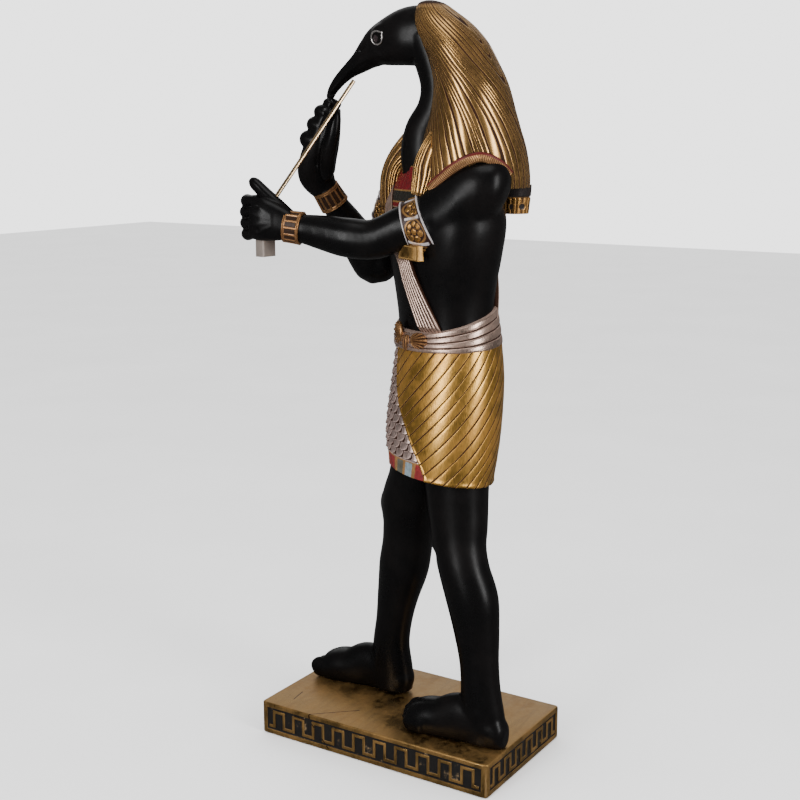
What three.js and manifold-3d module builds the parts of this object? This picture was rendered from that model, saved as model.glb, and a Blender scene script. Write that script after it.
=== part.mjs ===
// An ibis-headed walking figure on a plinth, holding a stylus and a palette block.
// Millimetres, +Z up. The origin is the centre of the plinth's underside, the feet point along -Y and
// the figure's left side is towards +X.
import * as THREE from "three";
import { mergeVertices } from "three/addons/utils/BufferGeometryUtils.js";
import Module from "manifold-3d";

const wasm = await Module();
wasm.setup();

// Plinth
const plinthLength = 330;
const plinthWidth = 192;
const plinthHeight = 42;
const plinthCorner = 4;
const plinthBevel = 1.2;
const frameEdge = 6;
const fieldDepth = 2;
const keyRise = 1.6;
const keyBand = 3.4;
const keyMargin = 3.2;
const keyPitch = 30;

// Figure, stylus and palette block
const figureHeight = 864;
const seatGap = 0.3;
const rodDiameter = 5;
const rodClearance = 0.35;
const rodSocket = 12;
const blockWidth = 22;
const blockDepth = 14;
const blockBevel = 1.5;
const blockClearance = 0.35;
const blockDrop = 19;
const blockSocket = 34;

// Everything carved is placed in hundredths of the figure's height, above the sole.
const share = figureHeight / 100;
const AHEAD = [0, -1, 0];
const UP = [0, 0, 1];

// Solids and joins

function solidOf(geometry) {
  const bare = geometry.clone();
  bare.deleteAttribute("normal");
  bare.deleteAttribute("uv");
  const merged = mergeVertices(bare, 1e-4);
  return new wasm.Manifold(new wasm.Mesh({
    numProp: 3,
    vertProperties: new Float32Array(merged.attributes.position.array),
    triVerts: new Uint32Array(merged.index.array),
  }));
}

function geometryOf(solid) {
  const mesh = solid.getMesh();
  const geometry = new THREE.BufferGeometry();
  geometry.setAttribute("position", new THREE.BufferAttribute(mesh.vertProperties, 3));
  geometry.setIndex(new THREE.BufferAttribute(mesh.triVerts, 1));
  return geometry;
}

function join(solids) {
  return solids.reduce((whole, next) => whole.add(next));
}

// Joins rings of points into one closed skin, with a fan to the middle of each end ring.
function skin(rings) {
  const sides = rings[0].length;
  const points = rings.flat();
  const faces = [];
  for (let ring = 0; ring < rings.length - 1; ring++) {
    for (let side = 0; side < sides; side++) {
      const a = ring * sides + side;
      const b = ring * sides + ((side + 1) % sides);
      faces.push(a, b, b + sides, a, b + sides, a + sides);
    }
  }
  const firstMiddle = points.length;
  const lastMiddle = firstMiddle + 1;
  points.push(middle(rings[0]), middle(rings[rings.length - 1]));
  const lastRing = (rings.length - 1) * sides;
  for (let side = 0; side < sides; side++) {
    const next = (side + 1) % sides;
    faces.push(firstMiddle, next, side, lastMiddle, lastRing + side, lastRing + next);
  }
  if (volume(points, faces) < 0) faces.reverse();
  const geometry = new THREE.BufferGeometry().setFromPoints(points);
  geometry.setIndex(faces);
  return solidOf(geometry);
}

function middle(ring) {
  const sum = ring.reduce((total, point) => total.add(point), new THREE.Vector3());
  return sum.divideScalar(ring.length);
}

function volume(points, faces) {
  let total = 0;
  for (let i = 0; i < faces.length; i += 3) {
    const cross = new THREE.Vector3().crossVectors(points[faces[i + 1]], points[faces[i + 2]]);
    total += points[faces[i]].dot(cross);
  }
  return total;
}

// Smooth rows between hand-set stations: every number in a station follows a Catmull-Rom spline.
function smooth(stations, steps) {
  const last = stations.length - 1;
  const rows = [];
  for (let i = 0; i < last; i++) {
    const near = [i - 1, i, i + 1, i + 2].map((k) => stations[Math.min(Math.max(k, 0), last)]);
    for (let s = 0; s < steps; s++) rows.push(between(near, s / steps));
  }
  rows.push(stations[last]);
  return rows;
}

function between([a, b, c, d], t) {
  return b.map((_, n) => {
    const slope = (c[n] - a[n]) * t;
    const bend = (2 * a[n] - 5 * b[n] + 4 * c[n] - d[n]) * t * t;
    const twist = (3 * b[n] - a[n] - 3 * c[n] + d[n]) * t * t * t;
    return 0.5 * (2 * b[n] + slope + bend + twist);
  });
}

// A rounded section's unit outline: square above 1 makes it boxier.
function outline(turn, square) {
  const power = 1 / square;
  const c = Math.cos(turn);
  const s = Math.sin(turn);
  return [Math.sign(c) * Math.abs(c) ** power, Math.sign(s) * Math.abs(s) ** power];
}

// The level section through a standing form. A row is [x, y, z, half width, half depth, facing], and
// facing is in degrees from -Y towards +X. Turn 0 is the form's left and turn 90 its front. A seventh
// number makes the ring fall towards the front, by that much for each share forward.
function girth(row, turn, out = 0, square = 1) {
  const [x, y, z, wide, deep, facing, fall = 0] = row;
  const f = THREE.MathUtils.degToRad(facing);
  const [c, s] = outline(turn, square);
  const left = (wide + out) * c;
  const front = (deep + out) * s;
  return new THREE.Vector3(
    x + left * Math.cos(f) + front * Math.sin(f),
    y + left * Math.sin(f) - front * Math.cos(f),
    z - fall * front,
  ).multiplyScalar(share);
}

function standing(stations, sides, steps, square = 1, relief = () => 0) {
  const rings = smooth(stations, steps).map((row, level, rows) => {
    const ring = [];
    for (let k = 0; k < sides; k++) {
      const turn = (k / sides) * 2 * Math.PI;
      ring.push(girth(row, turn, relief(k, level / (rows.length - 1)), square));
    }
    return ring;
  });
  return skin(rings);
}

// A form along a path. A row is [x, y, z, half width, half depth], with the depth towards front.
function limb(stations, front, sides, steps, square = 1) {
  const rows = smooth(stations, steps);
  const centres = rows.map(([x, y, z]) => new THREE.Vector3(x, y, z).multiplyScalar(share));
  const rings = rows.map((row, i) => {
    const from = centres[Math.max(i - 1, 0)];
    const to = centres[Math.min(i + 1, centres.length - 1)];
    const along = to.clone().sub(from).normalize();
    const deep = new THREE.Vector3(...front);
    deep.addScaledVector(along, -deep.dot(along)).normalize();
    const wide = new THREE.Vector3().crossVectors(along, deep);
    const ring = [];
    for (let k = 0; k < sides; k++) {
      const [c, s] = outline((k / sides) * 2 * Math.PI, square);
      const point = centres[i].clone().addScaledVector(wide, c * row[3] * share);
      ring.push(point.addScaledVector(deep, s * row[4] * share));
    }
    return ring;
  });
  return skin(rings);
}

function egg(at, radii, turn = 0) {
  const ball = new THREE.SphereGeometry(1, 8, 6);
  ball.scale(...radii.map((radius) => radius * share));
  ball.rotateZ(THREE.MathUtils.degToRad(turn));
  ball.translate(...at.map((value) => value * share));
  return solidOf(ball);
}

// Body

const TORSO = [
  [-0.4, 4.9, 40, 8.0, 6.2, 54],
  [-0.8, 5.6, 50, 8.0, 6.1, 62],
  [-0.6, 5.4, 57, 7.5, 5.6, 65],
  [-0.5, 5.2, 62, 8.0, 5.8, 65],
  [-0.6, 5.1, 67, 9.5, 6.3, 63],
  [-1.0, 5.0, 71.5, 10.3, 6.6, 61],
  [-1.3, 4.7, 75, 9.4, 5.8, 60],
  [-1.3, 4.4, 78, 6.8, 4.6, 56],
  [-1.0, 3.8, 80.5, 3.6, 3.4, 35],
];

const TORSO_SQUARE = 1.15;

function torsoRow(height) {
  const rows = smooth(TORSO, 8);
  const above = rows.findIndex((row) => row[2] >= height);
  const low = rows[above - 1];
  const high = rows[above];
  const t = (height - low[2]) / (high[2] - low[2]);
  return low.map((value, n) => value + (high[n] - value) * t);
}

function onTorso(degrees, height, out) {
  return girth(torsoRow(height), THREE.MathUtils.degToRad(degrees), out, TORSO_SQUARE);
}

function torso() {
  const chest = [
    egg([3.7, 5.2, 73.4], [3.9, 2.0, 2.7], 70),
    egg([0.4, -0.3, 73.6], [3.9, 2.0, 2.7], 52),
  ];
  return join([standing(TORSO, 18, 1, TORSO_SQUARE), ...chest]);
}

function neck() {
  return limb([
    [-0.9, 2.6, 77, 3.6, 3.8],
    [-0.4, 2.0, 80, 3.1, 3.4],
    [-0.2, 2.2, 83, 2.6, 2.9],
    [-0.1, 3.6, 86, 2.1, 2.4],
    [0, 4.1, 89, 2.0, 2.3],
    [0, 3.4, 92.5, 2.3, 2.6],
    [0, 2.2, 95.5, 2.6, 2.9],
  ], AHEAD, 12, 1);
}

function nearLeg() {
  return limb([
    [1.7, 8.4, 44, 4.6, 5.0],
    [2.4, 9.1, 35, 4.1, 4.5],
    [3.0, 9.8, 30, 3.7, 4.1],
    [3.6, 10.4, 26.8, 3.4, 3.7],
    [4.1, 11.4, 23.8, 3.3, 3.6],
    [4.3, 12.8, 20, 3.3, 3.7],
    [4.6, 13.7, 15.5, 2.9, 3.2],
    [4.9, 14.3, 11.4, 2.5, 2.8],
    [5.1, 14.7, 7.5, 2.4, 2.9],
    [5.2, 15.1, 3.2, 2.4, 3.4],
    [5.2, 15.2, 0.4, 2.4, 3.5],
  ], AHEAD, 10, 1);
}

function farLeg() {
  return limb([
    [-1.6, 1.2, 44, 4.6, 5.0],
    [-1.5, -0.2, 35, 4.1, 4.5],
    [-1.9, -1.2, 30.6, 3.8, 4.2],
    [-2.5, -1.8, 26.8, 3.5, 3.9],
    [-2.8, -2.2, 23.8, 3.4, 3.8],
    [-2.9, -2.9, 20, 3.4, 3.8],
    [-2.9, -3.9, 15.5, 2.8, 3.2],
    [-2.9, -4.6, 11.4, 2.5, 2.8],
    [-2.9, -5.1, 7.5, 2.4, 2.9],
    [-3.0, -5.0, 3.2, 2.4, 3.4],
    [-3.0, -5.0, 0.4, 2.4, 3.3],
  ], AHEAD, 10, 1);
}

// A foot of the given length from its heel, and five toes. Side is 1 where the big toe is towards -X.
function foot([x, heel], length, side) {
  const back = (part) => heel - part * length;
  const sole = limb([
    [x, back(0), 1.6, 1.0, 1.5],
    [x, back(0.05), 1.7, 1.9, 2.0],
    [x, back(0.21), 2.5, 2.2, 3.0],
    [x, back(0.42), 2.9, 2.3, 3.5],
    [x - 0.1 * side, back(0.61), 2.1, 2.7, 2.9],
    [x - 0.1 * side, back(0.75), 1.8, 3.0, 2.65],
    [x - 0.1 * side, back(0.86), 1.45, 3.0, 2.2],
  ], UP, 10, 1, 1.1);
  const toes = [0, 1, 2, 3, 4].map((n) => {
    const across = x + side * (n === 0 ? -2.1 : -1.75 + 1.03 * n);
    const root = back(0.81 - 0.02 * n);
    const tip = back([0.99, 0.985, 0.965, 0.935, 0.895][n]);
    const thick = n === 0 ? 1.12 : 0.74;
    const tall = 1.55 - 0.06 * n;
    const centre = 1.45 - 0.05 * n;
    return limb([
      [across, root, centre, thick * 1.05, tall],
      [across, tip + 0.9, centre - 0.1, thick, tall * 0.93],
      [across, tip, centre - 0.4, thick * 0.45, tall * 0.4],
    ], UP, 5, 1);
  });
  return join([sole, ...toes]);
}

// Arms and hands

const NEAR_ARM = [
  [2.5, 16.1, 75.4, 1.4, 1.5],
  [2.6, 15.4, 75.6, 2.7, 3.0],
  [2.8, 13.8, 75.9, 3.6, 3.8],
  [3.2, 11.6, 75.4, 3.8, 4.1],
  [3.9, 8.7, 73.0, 3.5, 4.3],
  [4.5, 5.6, 71.1, 3.2, 4.2],
  [5.4, 2.7, 70.7, 2.7, 3.0],
  [7.0, -1.2, 69.0, 2.5, 2.7],
  [8.2, -4.8, 69.1, 2.5, 2.7],
  [9.1, -8.2, 69.7, 2.2, 2.4],
  [10.0, -11.1, 70.2, 1.8, 2.0],
  [10.8, -13.4, 70.5, 1.6, 1.9],
];

const FAR_ARM = [
  [-5.6, -2.5, 79.7, 1.3, 1.3],
  [-5.7, -2.7, 79.0, 2.7, 2.7],
  [-5.8, -3.2, 77.5, 3.6, 3.6],
  [-5.9, -4.0, 75.6, 3.7, 3.8],
  [-6.2, -5.2, 73.2, 3.3, 3.5],
  [-6.5, -7.3, 70, 2.8, 3.0],
  [-6.8, -9.4, 66.8, 2.6, 2.8],
];

const FAR_FOREARM = [
  [-6.9, -9.8, 61.3, 1.2, 1.2],
  [-6.7, -10.4, 63.2, 2.7, 2.6],
  [-5.3, -11.6, 66.6, 2.8, 2.8],
  [-3.4, -12.8, 70, 2.3, 2.4],
  [-1.6, -13.8, 72.8, 1.9, 1.9],
  [-0.1, -14.5, 75.2, 1.7, 1.7],
];

// A hoop from one arm station to the next, standing proud of the arm.
const BAND_RISE = 0.3;

function armband(stations, first, front) {
  const rows = smooth(stations, 2).slice(2 * first, 2 * first + 3);
  const hoop = rows.map(([x, y, z, wide, deep]) => [x, y, z, wide + BAND_RISE, deep + BAND_RISE]);
  return limb(hoop, front, 10, 1);
}

function bands() {
  return join([
    armband(NEAR_ARM, 5, UP),
    armband(NEAR_ARM, 10, UP),
    armband(FAR_ARM, 4, AHEAD),
    armband(FAR_FOREARM, 4, AHEAD),
  ]);
}

const FINGER = 0.86;
const FINGER_END = 0.6;

function finger(points, half = FINGER) {
  const stations = points.map((point, n) => {
    const end = n === 0 || n === points.length - 1;
    const thick = half * (end ? FINGER_END : 1);
    return [...point, thick, thick];
  });
  return limb(stations, [0.3, 0.2, 1], 5, 1);
}

function nearHand() {
  const palm = limb([
    [10.5, -12.8, 70.6, 1.6, 2.0],
    [11.2, -14.6, 71.0, 1.7, 2.6],
    [11.7, -16.4, 71.4, 1.8, 3.0],
    [12.0, -17.9, 71.6, 1.5, 2.9],
  ], UP, 10, 1, 1.15);
  const fingers = [0, 1, 2, 3].map((n) => {
    const z = 73.8 - 1.5 * n;
    const back = -0.1 * n * (3 - n);
    return finger([
      [12.2, -17.0 + back, z + 0.1],
      [12.0, -18.9 + back, z],
      [10.0, -19.7 + back, z - 0.1],
      [8.7, -18.2 + back, z - 0.2],
      [9.4, -16.3 + back, z - 0.3],
    ]);
  });
  const thumb = limb([
    [10.3, -13.2, 71.6, 1.0, 1.2],
    [10.9, -15.3, 73.6, 1.0, 1.1],
    [11.0, -17.0, 75.1, 0.9, 0.9],
    [11.1, -18.3, 76.2, 0.8, 0.8],
    [11.1, -18.9, 76.7, 0.4, 0.4],
  ], UP, 7, 1);
  return join([palm, ...fingers, thumb]);
}

function farHand() {
  const palm = limb([
    [-0.4, -14.5, 74.8, 1.7, 1.8],
    [0.7, -15.3, 77.0, 1.8, 2.6],
    [1.3, -14.6, 79.2, 1.7, 2.6],
    [1.7, -13.4, 81.6, 1.5, 2.3],
    [1.9, -12.5, 84.0, 1.3, 1.9],
    [2.0, -11.8, 86.4, 1.0, 1.4],
  ], [0.5, -0.8, 0], 10, 1, 1.15);
  const knuckles = [
    [-15.6, 82.0, 1.15],
    [-14.5, 84.0, 1.05],
    [-13.4, 85.7, 0.95],
    [-12.3, 86.9, 0.65],
  ];
  const fingers = knuckles.map(([y, z, thick]) => finger([
    [0.4, y + 1.5 * thick, z - 0.3],
    [0.7, y + 0.3 * thick, z],
    [1.7, y - 0.1, z],
    [1.6 + thick, y + 0.4 * thick, z],
    [1.8 + thick, y + 1.5 * thick, z - 0.3],
  ], thick));
  const thumb = limb([
    [1.2, -13.4, 76.4, 0.5, 0.5],
    [1.6, -13.0, 77.6, 1.1, 1.2],
    [2.5, -12.1, 80.0, 1.1, 1.2],
    [2.9, -10.9, 82.8, 0.9, 1.0],
    [2.8, -10.5, 85.0, 0.75, 0.8],
    [2.7, -10.6, 86.3, 0.4, 0.4],
  ], AHEAD, 7, 1);
  return join([palm, ...fingers, thumb]);
}

// Head and bill

const EYE_RADIUS = 0.72;
const EYE_RIM = 0.16;
const EYE_TURN = 12;

function head() {
  const skull = limb([
    [0, 5.4, 95.6, 1.6, 2.2],
    [0, 4.0, 95.6, 2.0, 3.6],
    [0, 1.2, 95.6, 2.75, 3.9],
    [0, -1.2, 95.4, 2.95, 3.7],
    [0, -4.6, 94.6, 2.1, 2.9],
    [0, -6.5, 93.6, 1.5, 2.2],
    [0, -8.1, 92.5, 1.1, 1.6],
    [0, -9.9, 91.4, 0.85, 1.15],
    [0, -11.4, 90.3, 0.7, 0.95],
    [0, -12.6, 89.1, 0.6, 0.8],
    [0, -13.3, 87.9, 0.5, 0.62],
    [0, -13.4, 87.2, 0.25, 0.3],
  ], UP, 12, 1);
  const eyes = [1, -1].map((side) => {
    const ring = new THREE.TorusGeometry(EYE_RADIUS * share, EYE_RIM * share, 3, 9);
    ring.rotateY(Math.PI / 2);
    ring.rotateZ(THREE.MathUtils.degToRad(-EYE_TURN * side));
    ring.translate(side * 2.22 * share, -4.0 * share, 95.5 * share);
    return solidOf(ring);
  });
  return join([skull, ...eyes]);
}

// Wig

const WIG = [
  [0, 2.9, 100, 0.6, 0.6, 0],
  [0, 3.2, 99.6, 1.9, 1.7, 0],
  [0, 4.0, 98.4, 3.1, 2.7, 0],
  [0, 5.2, 96.8, 4.1, 3.7, 0],
  [-0.2, 6.7, 94.6, 4.9, 4.2, 4],
  [-0.4, 8.0, 92, 5.4, 4.4, 8],
  [-0.6, 9.0, 89, 6.0, 4.9, 16],
  [-0.9, 9.2, 85, 6.7, 5.8, 28],
  [-1.3, 9.0, 81, 7.4, 7.0, 34],
  [-1.7, 8.7, 78, 7.9, 7.6, 36],
  [-1.9, 8.5, 75.8, 7.7, 7.8, 36],
];

const WIG_LOCKS = 16;
const LOCK_GROOVE = 0.28;

// Every other column is sunk to part the locks, except right at the crown.
function wig() {
  const grooved = (column, level) => (level === 0 ? 0 : -LOCK_GROOVE * (column % 2));
  const mantle = standing(WIG, WIG_LOCKS * 2, 1, 1, grooved);
  const tail = standing([
    [-8.4, 10.5, 76, 4.2, 2.5, 58],
    [-8.5, 10.5, 74.8, 4.1, 2.4, 58],
    [-8.5, 10.4, 72.7, 3.9, 2.2, 58],
  ], 14, 1, 1.3);
  const farLappet = limb([
    [-3.6, 5.4, 87.5, 2.4, 1.5],
    [-3.7, 3.4, 84.8, 2.8, 1.9],
    [-3.0, 0.1, 82.0, 2.7, 2.0],
    [-1.7, -2.6, 79.2, 2.2, 1.6],
    [-0.7, -3.6, 76.6, 2.0, 1.2],
    [-0.6, -3.8, 72.8, 1.8, 1.0],
  ], [0.87, -0.5, 0], 10, 1, 1.3);
  const nearLappet = limb([
    [4.2, 6.7, 84.8, 0.5, 0.5],
    [4.9, 6.9, 82.8, 1.2, 0.9],
    [4.8, 6.1, 80.6, 1.6, 1.3],
    [4.5, 5.5, 78.8, 1.75, 1.4],
    [4.8, 5.3, 77.1, 1.6, 1.4],
    [5.3, 5.1, 75.4, 1.25, 1.2],
    [5.5, 5.0, 74.8, 1.1, 0.9],
  ], [1, 0.05, 0], 10, 1, 1.3);
  return join([mantle, tail, farLappet, nearLappet]);
}

// Dress

const KILT = [
  [-0.3, 4.8, 36.3, 10.0, 6.8, 50, -0.12],
  [-0.5, 5.1, 42.4, 9.8, 7.3, 56, 0],
  [-0.8, 5.6, 49.5, 9.0, 7.1, 60, 0.05],
  [-0.9, 5.7, 55.0, 8.2, 6.5, 63, 0.06],
];

const PLEATS = 22;
const PLEAT_DEPTH = 0.22;
const PLEAT_SLANT = 1.8;

function kilt() {
  const sides = PLEATS * 2;
  const rows = smooth(KILT, 2);
  const rings = rows.map((row, level) => {
    const ring = [];
    const drift = PLEAT_SLANT * (1 - level / (rows.length - 1));
    for (let k = 0; k < sides; k++) {
      const turn = (k / sides) * 2 * Math.PI + drift;
      ring.push(girth(row, turn, -PLEAT_DEPTH * (k % 2)));
    }
    return ring;
  });
  return skin(rings);
}

const BELT = [
  [-0.8, 5.6, 54.5, 8.4, 6.6, 63, 0.06],
  [-0.7, 5.5, 55.8, 8.2, 6.5, 63, 0.15],
  [-0.7, 5.4, 57.2, 7.9, 6.3, 64, 0.24],
  [-0.6, 5.4, 58.6, 7.7, 6.0, 65, 0.33],
];

const BELT_FOLD = 0.16;

function belt() {
  const folded = (_, level) => BELT_FOLD * Math.cos(level * 6 * Math.PI);
  return standing(BELT, 20, 2, 1, folded);
}

// The sash runs from the left hip up over the right shoulder and down the back to the left hip. A row
// is [turn round the torso in degrees, height, half width].
const SASH_SIDES = 6;
const SASH_THICK = 0.4;

function sash() {
  const path = [
    [57, 56.4, 1.3],
    [71, 59.5, 1.35],
    [84, 63.5, 1.25],
    [90, 67.2, 1.15],
    [108, 72, 1.15],
    [128, 75.5, 1.2],
    [152, 78.2, 1.2],
    [196, 78.4, 1.2],
    [236, 74, 1.2],
    [262, 68.5, 1.3],
    [290, 62.5, 1.4],
    [312, 57.5, 1.5],
  ];
  const points = path.map(([turn, height]) => onTorso(turn, height, 0.1));
  const rings = points.map((point, i) => {
    const from = points[Math.max(i - 1, 0)];
    const to = points[Math.min(i + 1, points.length - 1)];
    const along = to.clone().sub(from).normalize();
    const [turn, height, half] = path[i];
    const out = onTorso(turn, height, 1).sub(point).normalize();
    const across = new THREE.Vector3().crossVectors(along, out).normalize();
    const ring = [];
    for (let k = 0; k < SASH_SIDES; k++) {
      const [c, s] = outline((k / SASH_SIDES) * 2 * Math.PI, 1.5);
      const edge = point.clone().addScaledVector(across, c * half * share);
      ring.push(edge.addScaledVector(out, s * SASH_THICK * share));
    }
    return ring;
  });
  return skin(rings);
}

// Each row is [height, rise above the chest].
const COLLAR = [[78.6, 0.2], [77.2, 0.45], [75.6, 0.5], [74.4, 0.2]];
const COLLAR_SIDES = 18;

function collar() {
  return skin(COLLAR.map(([height, rise]) => {
    const ring = [];
    for (let k = 0; k < COLLAR_SIDES; k++) ring.push(onTorso((k / COLLAR_SIDES) * 360, height, rise));
    return ring;
  }));
}

function pectoral() {
  const plate = new THREE.BoxGeometry(5.6 * share, 1.1 * share, 2.8 * share);
  plate.rotateZ(THREE.MathUtils.degToRad(62));
  const spot = onTorso(78, 68.0, 0.4);
  plate.translate(spot.x, spot.y, spot.z);
  return solidOf(plate);
}

// The belt's ornament is two shells and the knot between them, each [turn, height, half width, half
// height], set square to the belt where it faces BELT_FACING degrees.
const BELT_FACING = 64;
const SHELLS = [[75, 55.6, 1.4, 1.15], [103, 56.2, 1.25, 1.5], [90, 55.1, 0.7, 0.9]];

function buckle() {
  return join(SHELLS.map(([turn, height, wide, tall]) => {
    const spot = onTorso(turn, height, 0.7);
    const shell = egg([0, 0, 0], [wide, 0.7, tall], BELT_FACING + 90 - turn);
    return shell.translate([spot.x, spot.y, spot.z]);
  }));
}

// Fits. The rod's foot and head and the block's upper end are in shares, like the carving.

const BLOCK_TURN = -6;
const rodFoot = new THREE.Vector3(10.5, -14.8, 74.7).multiplyScalar(share);
const rodHead = new THREE.Vector3(1.3, -8.4, 89.9).multiplyScalar(share);
const blockTop = new THREE.Vector3(10.6, -17.0, 68.4).multiplyScalar(share);

function rod(radius, before) {
  const along = rodHead.clone().sub(rodFoot);
  const length = along.length() + before;
  const stick = new THREE.CylinderGeometry(radius, radius, length, 16);
  stick.rotateX(Math.PI / 2);
  stick.translate(0, 0, length / 2 - before);
  const turn = new THREE.Quaternion().setFromUnitVectors(new THREE.Vector3(0, 0, 1), along.normalize());
  stick.applyQuaternion(turn);
  stick.translate(rodFoot.x, rodFoot.y, rodFoot.z);
  return stick;
}

function block(gap) {
  const plan = new THREE.Shape();
  const w = blockWidth / 2 + gap;
  const d = blockDepth / 2 + gap;
  const b = blockBevel;
  const length = blockDrop + blockSocket + gap;
  plan.moveTo(-w + b, -d);
  plan.lineTo(w - b, -d);
  plan.lineTo(w, -d + b);
  plan.lineTo(w, d - b);
  plan.lineTo(w - b, d);
  plan.lineTo(-w + b, d);
  plan.lineTo(-w, d - b);
  plan.lineTo(-w, -d + b);
  plan.closePath();
  const bar = new THREE.ExtrudeGeometry(plan, { depth: length, bevelEnabled: false });
  bar.rotateZ(THREE.MathUtils.degToRad(BLOCK_TURN));
  bar.translate(blockTop.x, blockTop.y, blockTop.z - blockDrop);
  return bar;
}

function figure() {
  const arms = [limb(NEAR_ARM, UP, 10, 1), limb(FAR_ARM, AHEAD, 10, 1), limb(FAR_FOREARM, AHEAD, 10, 1)];
  const feet = [foot([5.4, 18.9], 16.8, 1), foot([-3.1, -2.3], 16.2, -1)];
  const trunk = [torso(), neck(), head(), nearLeg(), farLeg()];
  const body = join([...trunk, ...feet, ...arms, nearHand(), farHand()]);
  const dress = join([wig(), kilt(), belt(), sash(), collar(), pectoral(), buckle(), bands()]);
  const floor = new THREE.BoxGeometry(40 * share, 60 * share, 10 * share);
  floor.translate(0, 0, -5 * share);
  return body.add(dress)
    .subtract(solidOf(floor))
    .subtract(solidOf(rod(rodDiameter / 2 + rodClearance, rodSocket + rodClearance)))
    .subtract(solidOf(block(blockClearance)));
}

// Plinth

function keyStrip(length, height) {
  const humps = Math.max(2, Math.round(length / keyPitch));
  const pitch = length / humps;
  const half = keyBand / 2;
  const top = height / 2;
  const line = [[-length / 2, -top + half]];
  for (let n = 0; n < humps; n++) {
    const start = -length / 2 + n * pitch;
    line.push([start + pitch * 0.25, -top + half], [start + pitch * 0.25, top - half]);
    line.push([start + pitch * 0.75, top - half], [start + pitch * 0.75, -top + half]);
  }
  line.push([length / 2, -top + half]);
  return ribbonShape(line, half);
}

// The outline of a band of even width along a line of level and upright runs.
function ribbonShape(line, half) {
  const leftSide = [];
  const rightSide = [];
  line.forEach(([x, y], i) => {
    const [ax, ay] = line[Math.max(i - 1, 0)];
    const [bx, by] = line[Math.min(i + 1, line.length - 1)];
    const before = [Math.sign(x - ax), Math.sign(y - ay)];
    const after = [Math.sign(bx - x), Math.sign(by - y)];
    const across = [-(before[1] || after[1]), before[0] || after[0]];
    leftSide.push(new THREE.Vector2(x + across[0] * half, y + across[1] * half));
    rightSide.unshift(new THREE.Vector2(x - across[0] * half, y - across[1] * half));
  });
  return new THREE.Shape([...leftSide, ...rightSide]);
}

function sidePanel(length, turn, reach) {
  const fieldLength = length - 2 * (frameEdge + plinthCorner / 2);
  const fieldHeight = plinthHeight - 2 * frameEdge;
  const field = new THREE.BoxGeometry(fieldLength, 2 * fieldDepth, fieldHeight);
  const strip = new THREE.ExtrudeGeometry(
    keyStrip(fieldLength - 2 * keyMargin, fieldHeight - 2 * keyMargin),
    { depth: 2 * keyRise, bevelEnabled: false },
  );
  strip.rotateX(Math.PI / 2);
  strip.translate(0, fieldDepth + keyRise, 0);
  return [field, strip].map((geometry) => {
    geometry.translate(0, -reach, plinthHeight / 2);
    geometry.rotateZ(turn);
    return solidOf(geometry);
  });
}

function plinth() {
  const plan = new THREE.Shape();
  const w = plinthWidth / 2 - plinthBevel;
  const l = plinthLength / 2 - plinthBevel;
  const r = plinthCorner;
  plan.moveTo(-w + r, -l);
  plan.absarc(w - r, -l + r, r, -Math.PI / 2, 0, false);
  plan.absarc(w - r, l - r, r, 0, Math.PI / 2, false);
  plan.absarc(-w + r, l - r, r, Math.PI / 2, Math.PI, false);
  plan.absarc(-w + r, -l + r, r, Math.PI, 1.5 * Math.PI, false);
  const slab = new THREE.ExtrudeGeometry(plan, {
    depth: plinthHeight - 2 * plinthBevel,
    bevelThickness: plinthBevel,
    bevelSize: plinthBevel,
    bevelSegments: 1,
    curveSegments: 2,
  });
  slab.translate(0, 0, plinthBevel);
  const panels = [
    sidePanel(plinthWidth, 0, plinthLength / 2),
    sidePanel(plinthWidth, Math.PI, plinthLength / 2),
    sidePanel(plinthLength, Math.PI / 2, plinthWidth / 2),
    sidePanel(plinthLength, -Math.PI / 2, plinthWidth / 2),
  ];
  const fields = join(panels.map(([field]) => field));
  const keys = join(panels.map(([, strip]) => strip));
  return solidOf(slab).subtract(fields).add(keys);
}

// Assembly

const blackResin = new THREE.MeshStandardMaterial({ color: 0x141213, roughness: 0.35, metalness: 0 });
const oldGold = new THREE.MeshStandardMaterial({ color: 0x9a7430, roughness: 0.4, metalness: 0.8 });
const brass = new THREE.MeshStandardMaterial({ color: 0xc2a05a, roughness: 0.3, metalness: 1 });
const paleSilver = new THREE.MeshStandardMaterial({ color: 0xcfc3b4, roughness: 0.5, metalness: 0.2 });

function piece(name, geometry, material, height = 0) {
  const mesh = new THREE.Mesh(geometry, material);
  mesh.name = name;
  mesh.position.z = height;
  return mesh;
}

const standingLevel = plinthHeight + seatGap;
const model = new THREE.Group();
model.add(
  piece("plinth", geometryOf(plinth()), oldGold),
  piece("figure", geometryOf(figure()), blackResin, standingLevel),
  piece("stylus", rod(rodDiameter / 2, rodSocket), brass, standingLevel),
  piece("palette_block", block(0), paleSilver, standingLevel),
);

export default model;
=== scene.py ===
"""The painted dress of an ibis-headed walking figure: a cast resin floor statue that holds a stylus
and a small palette block on a long plinth with a square key border.

Shapes are placed in shares, hundredths of the figure's height above its soles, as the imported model
is. Metres otherwise, +Z up, feet towards -Y, the figure's left side towards +X."""

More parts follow.
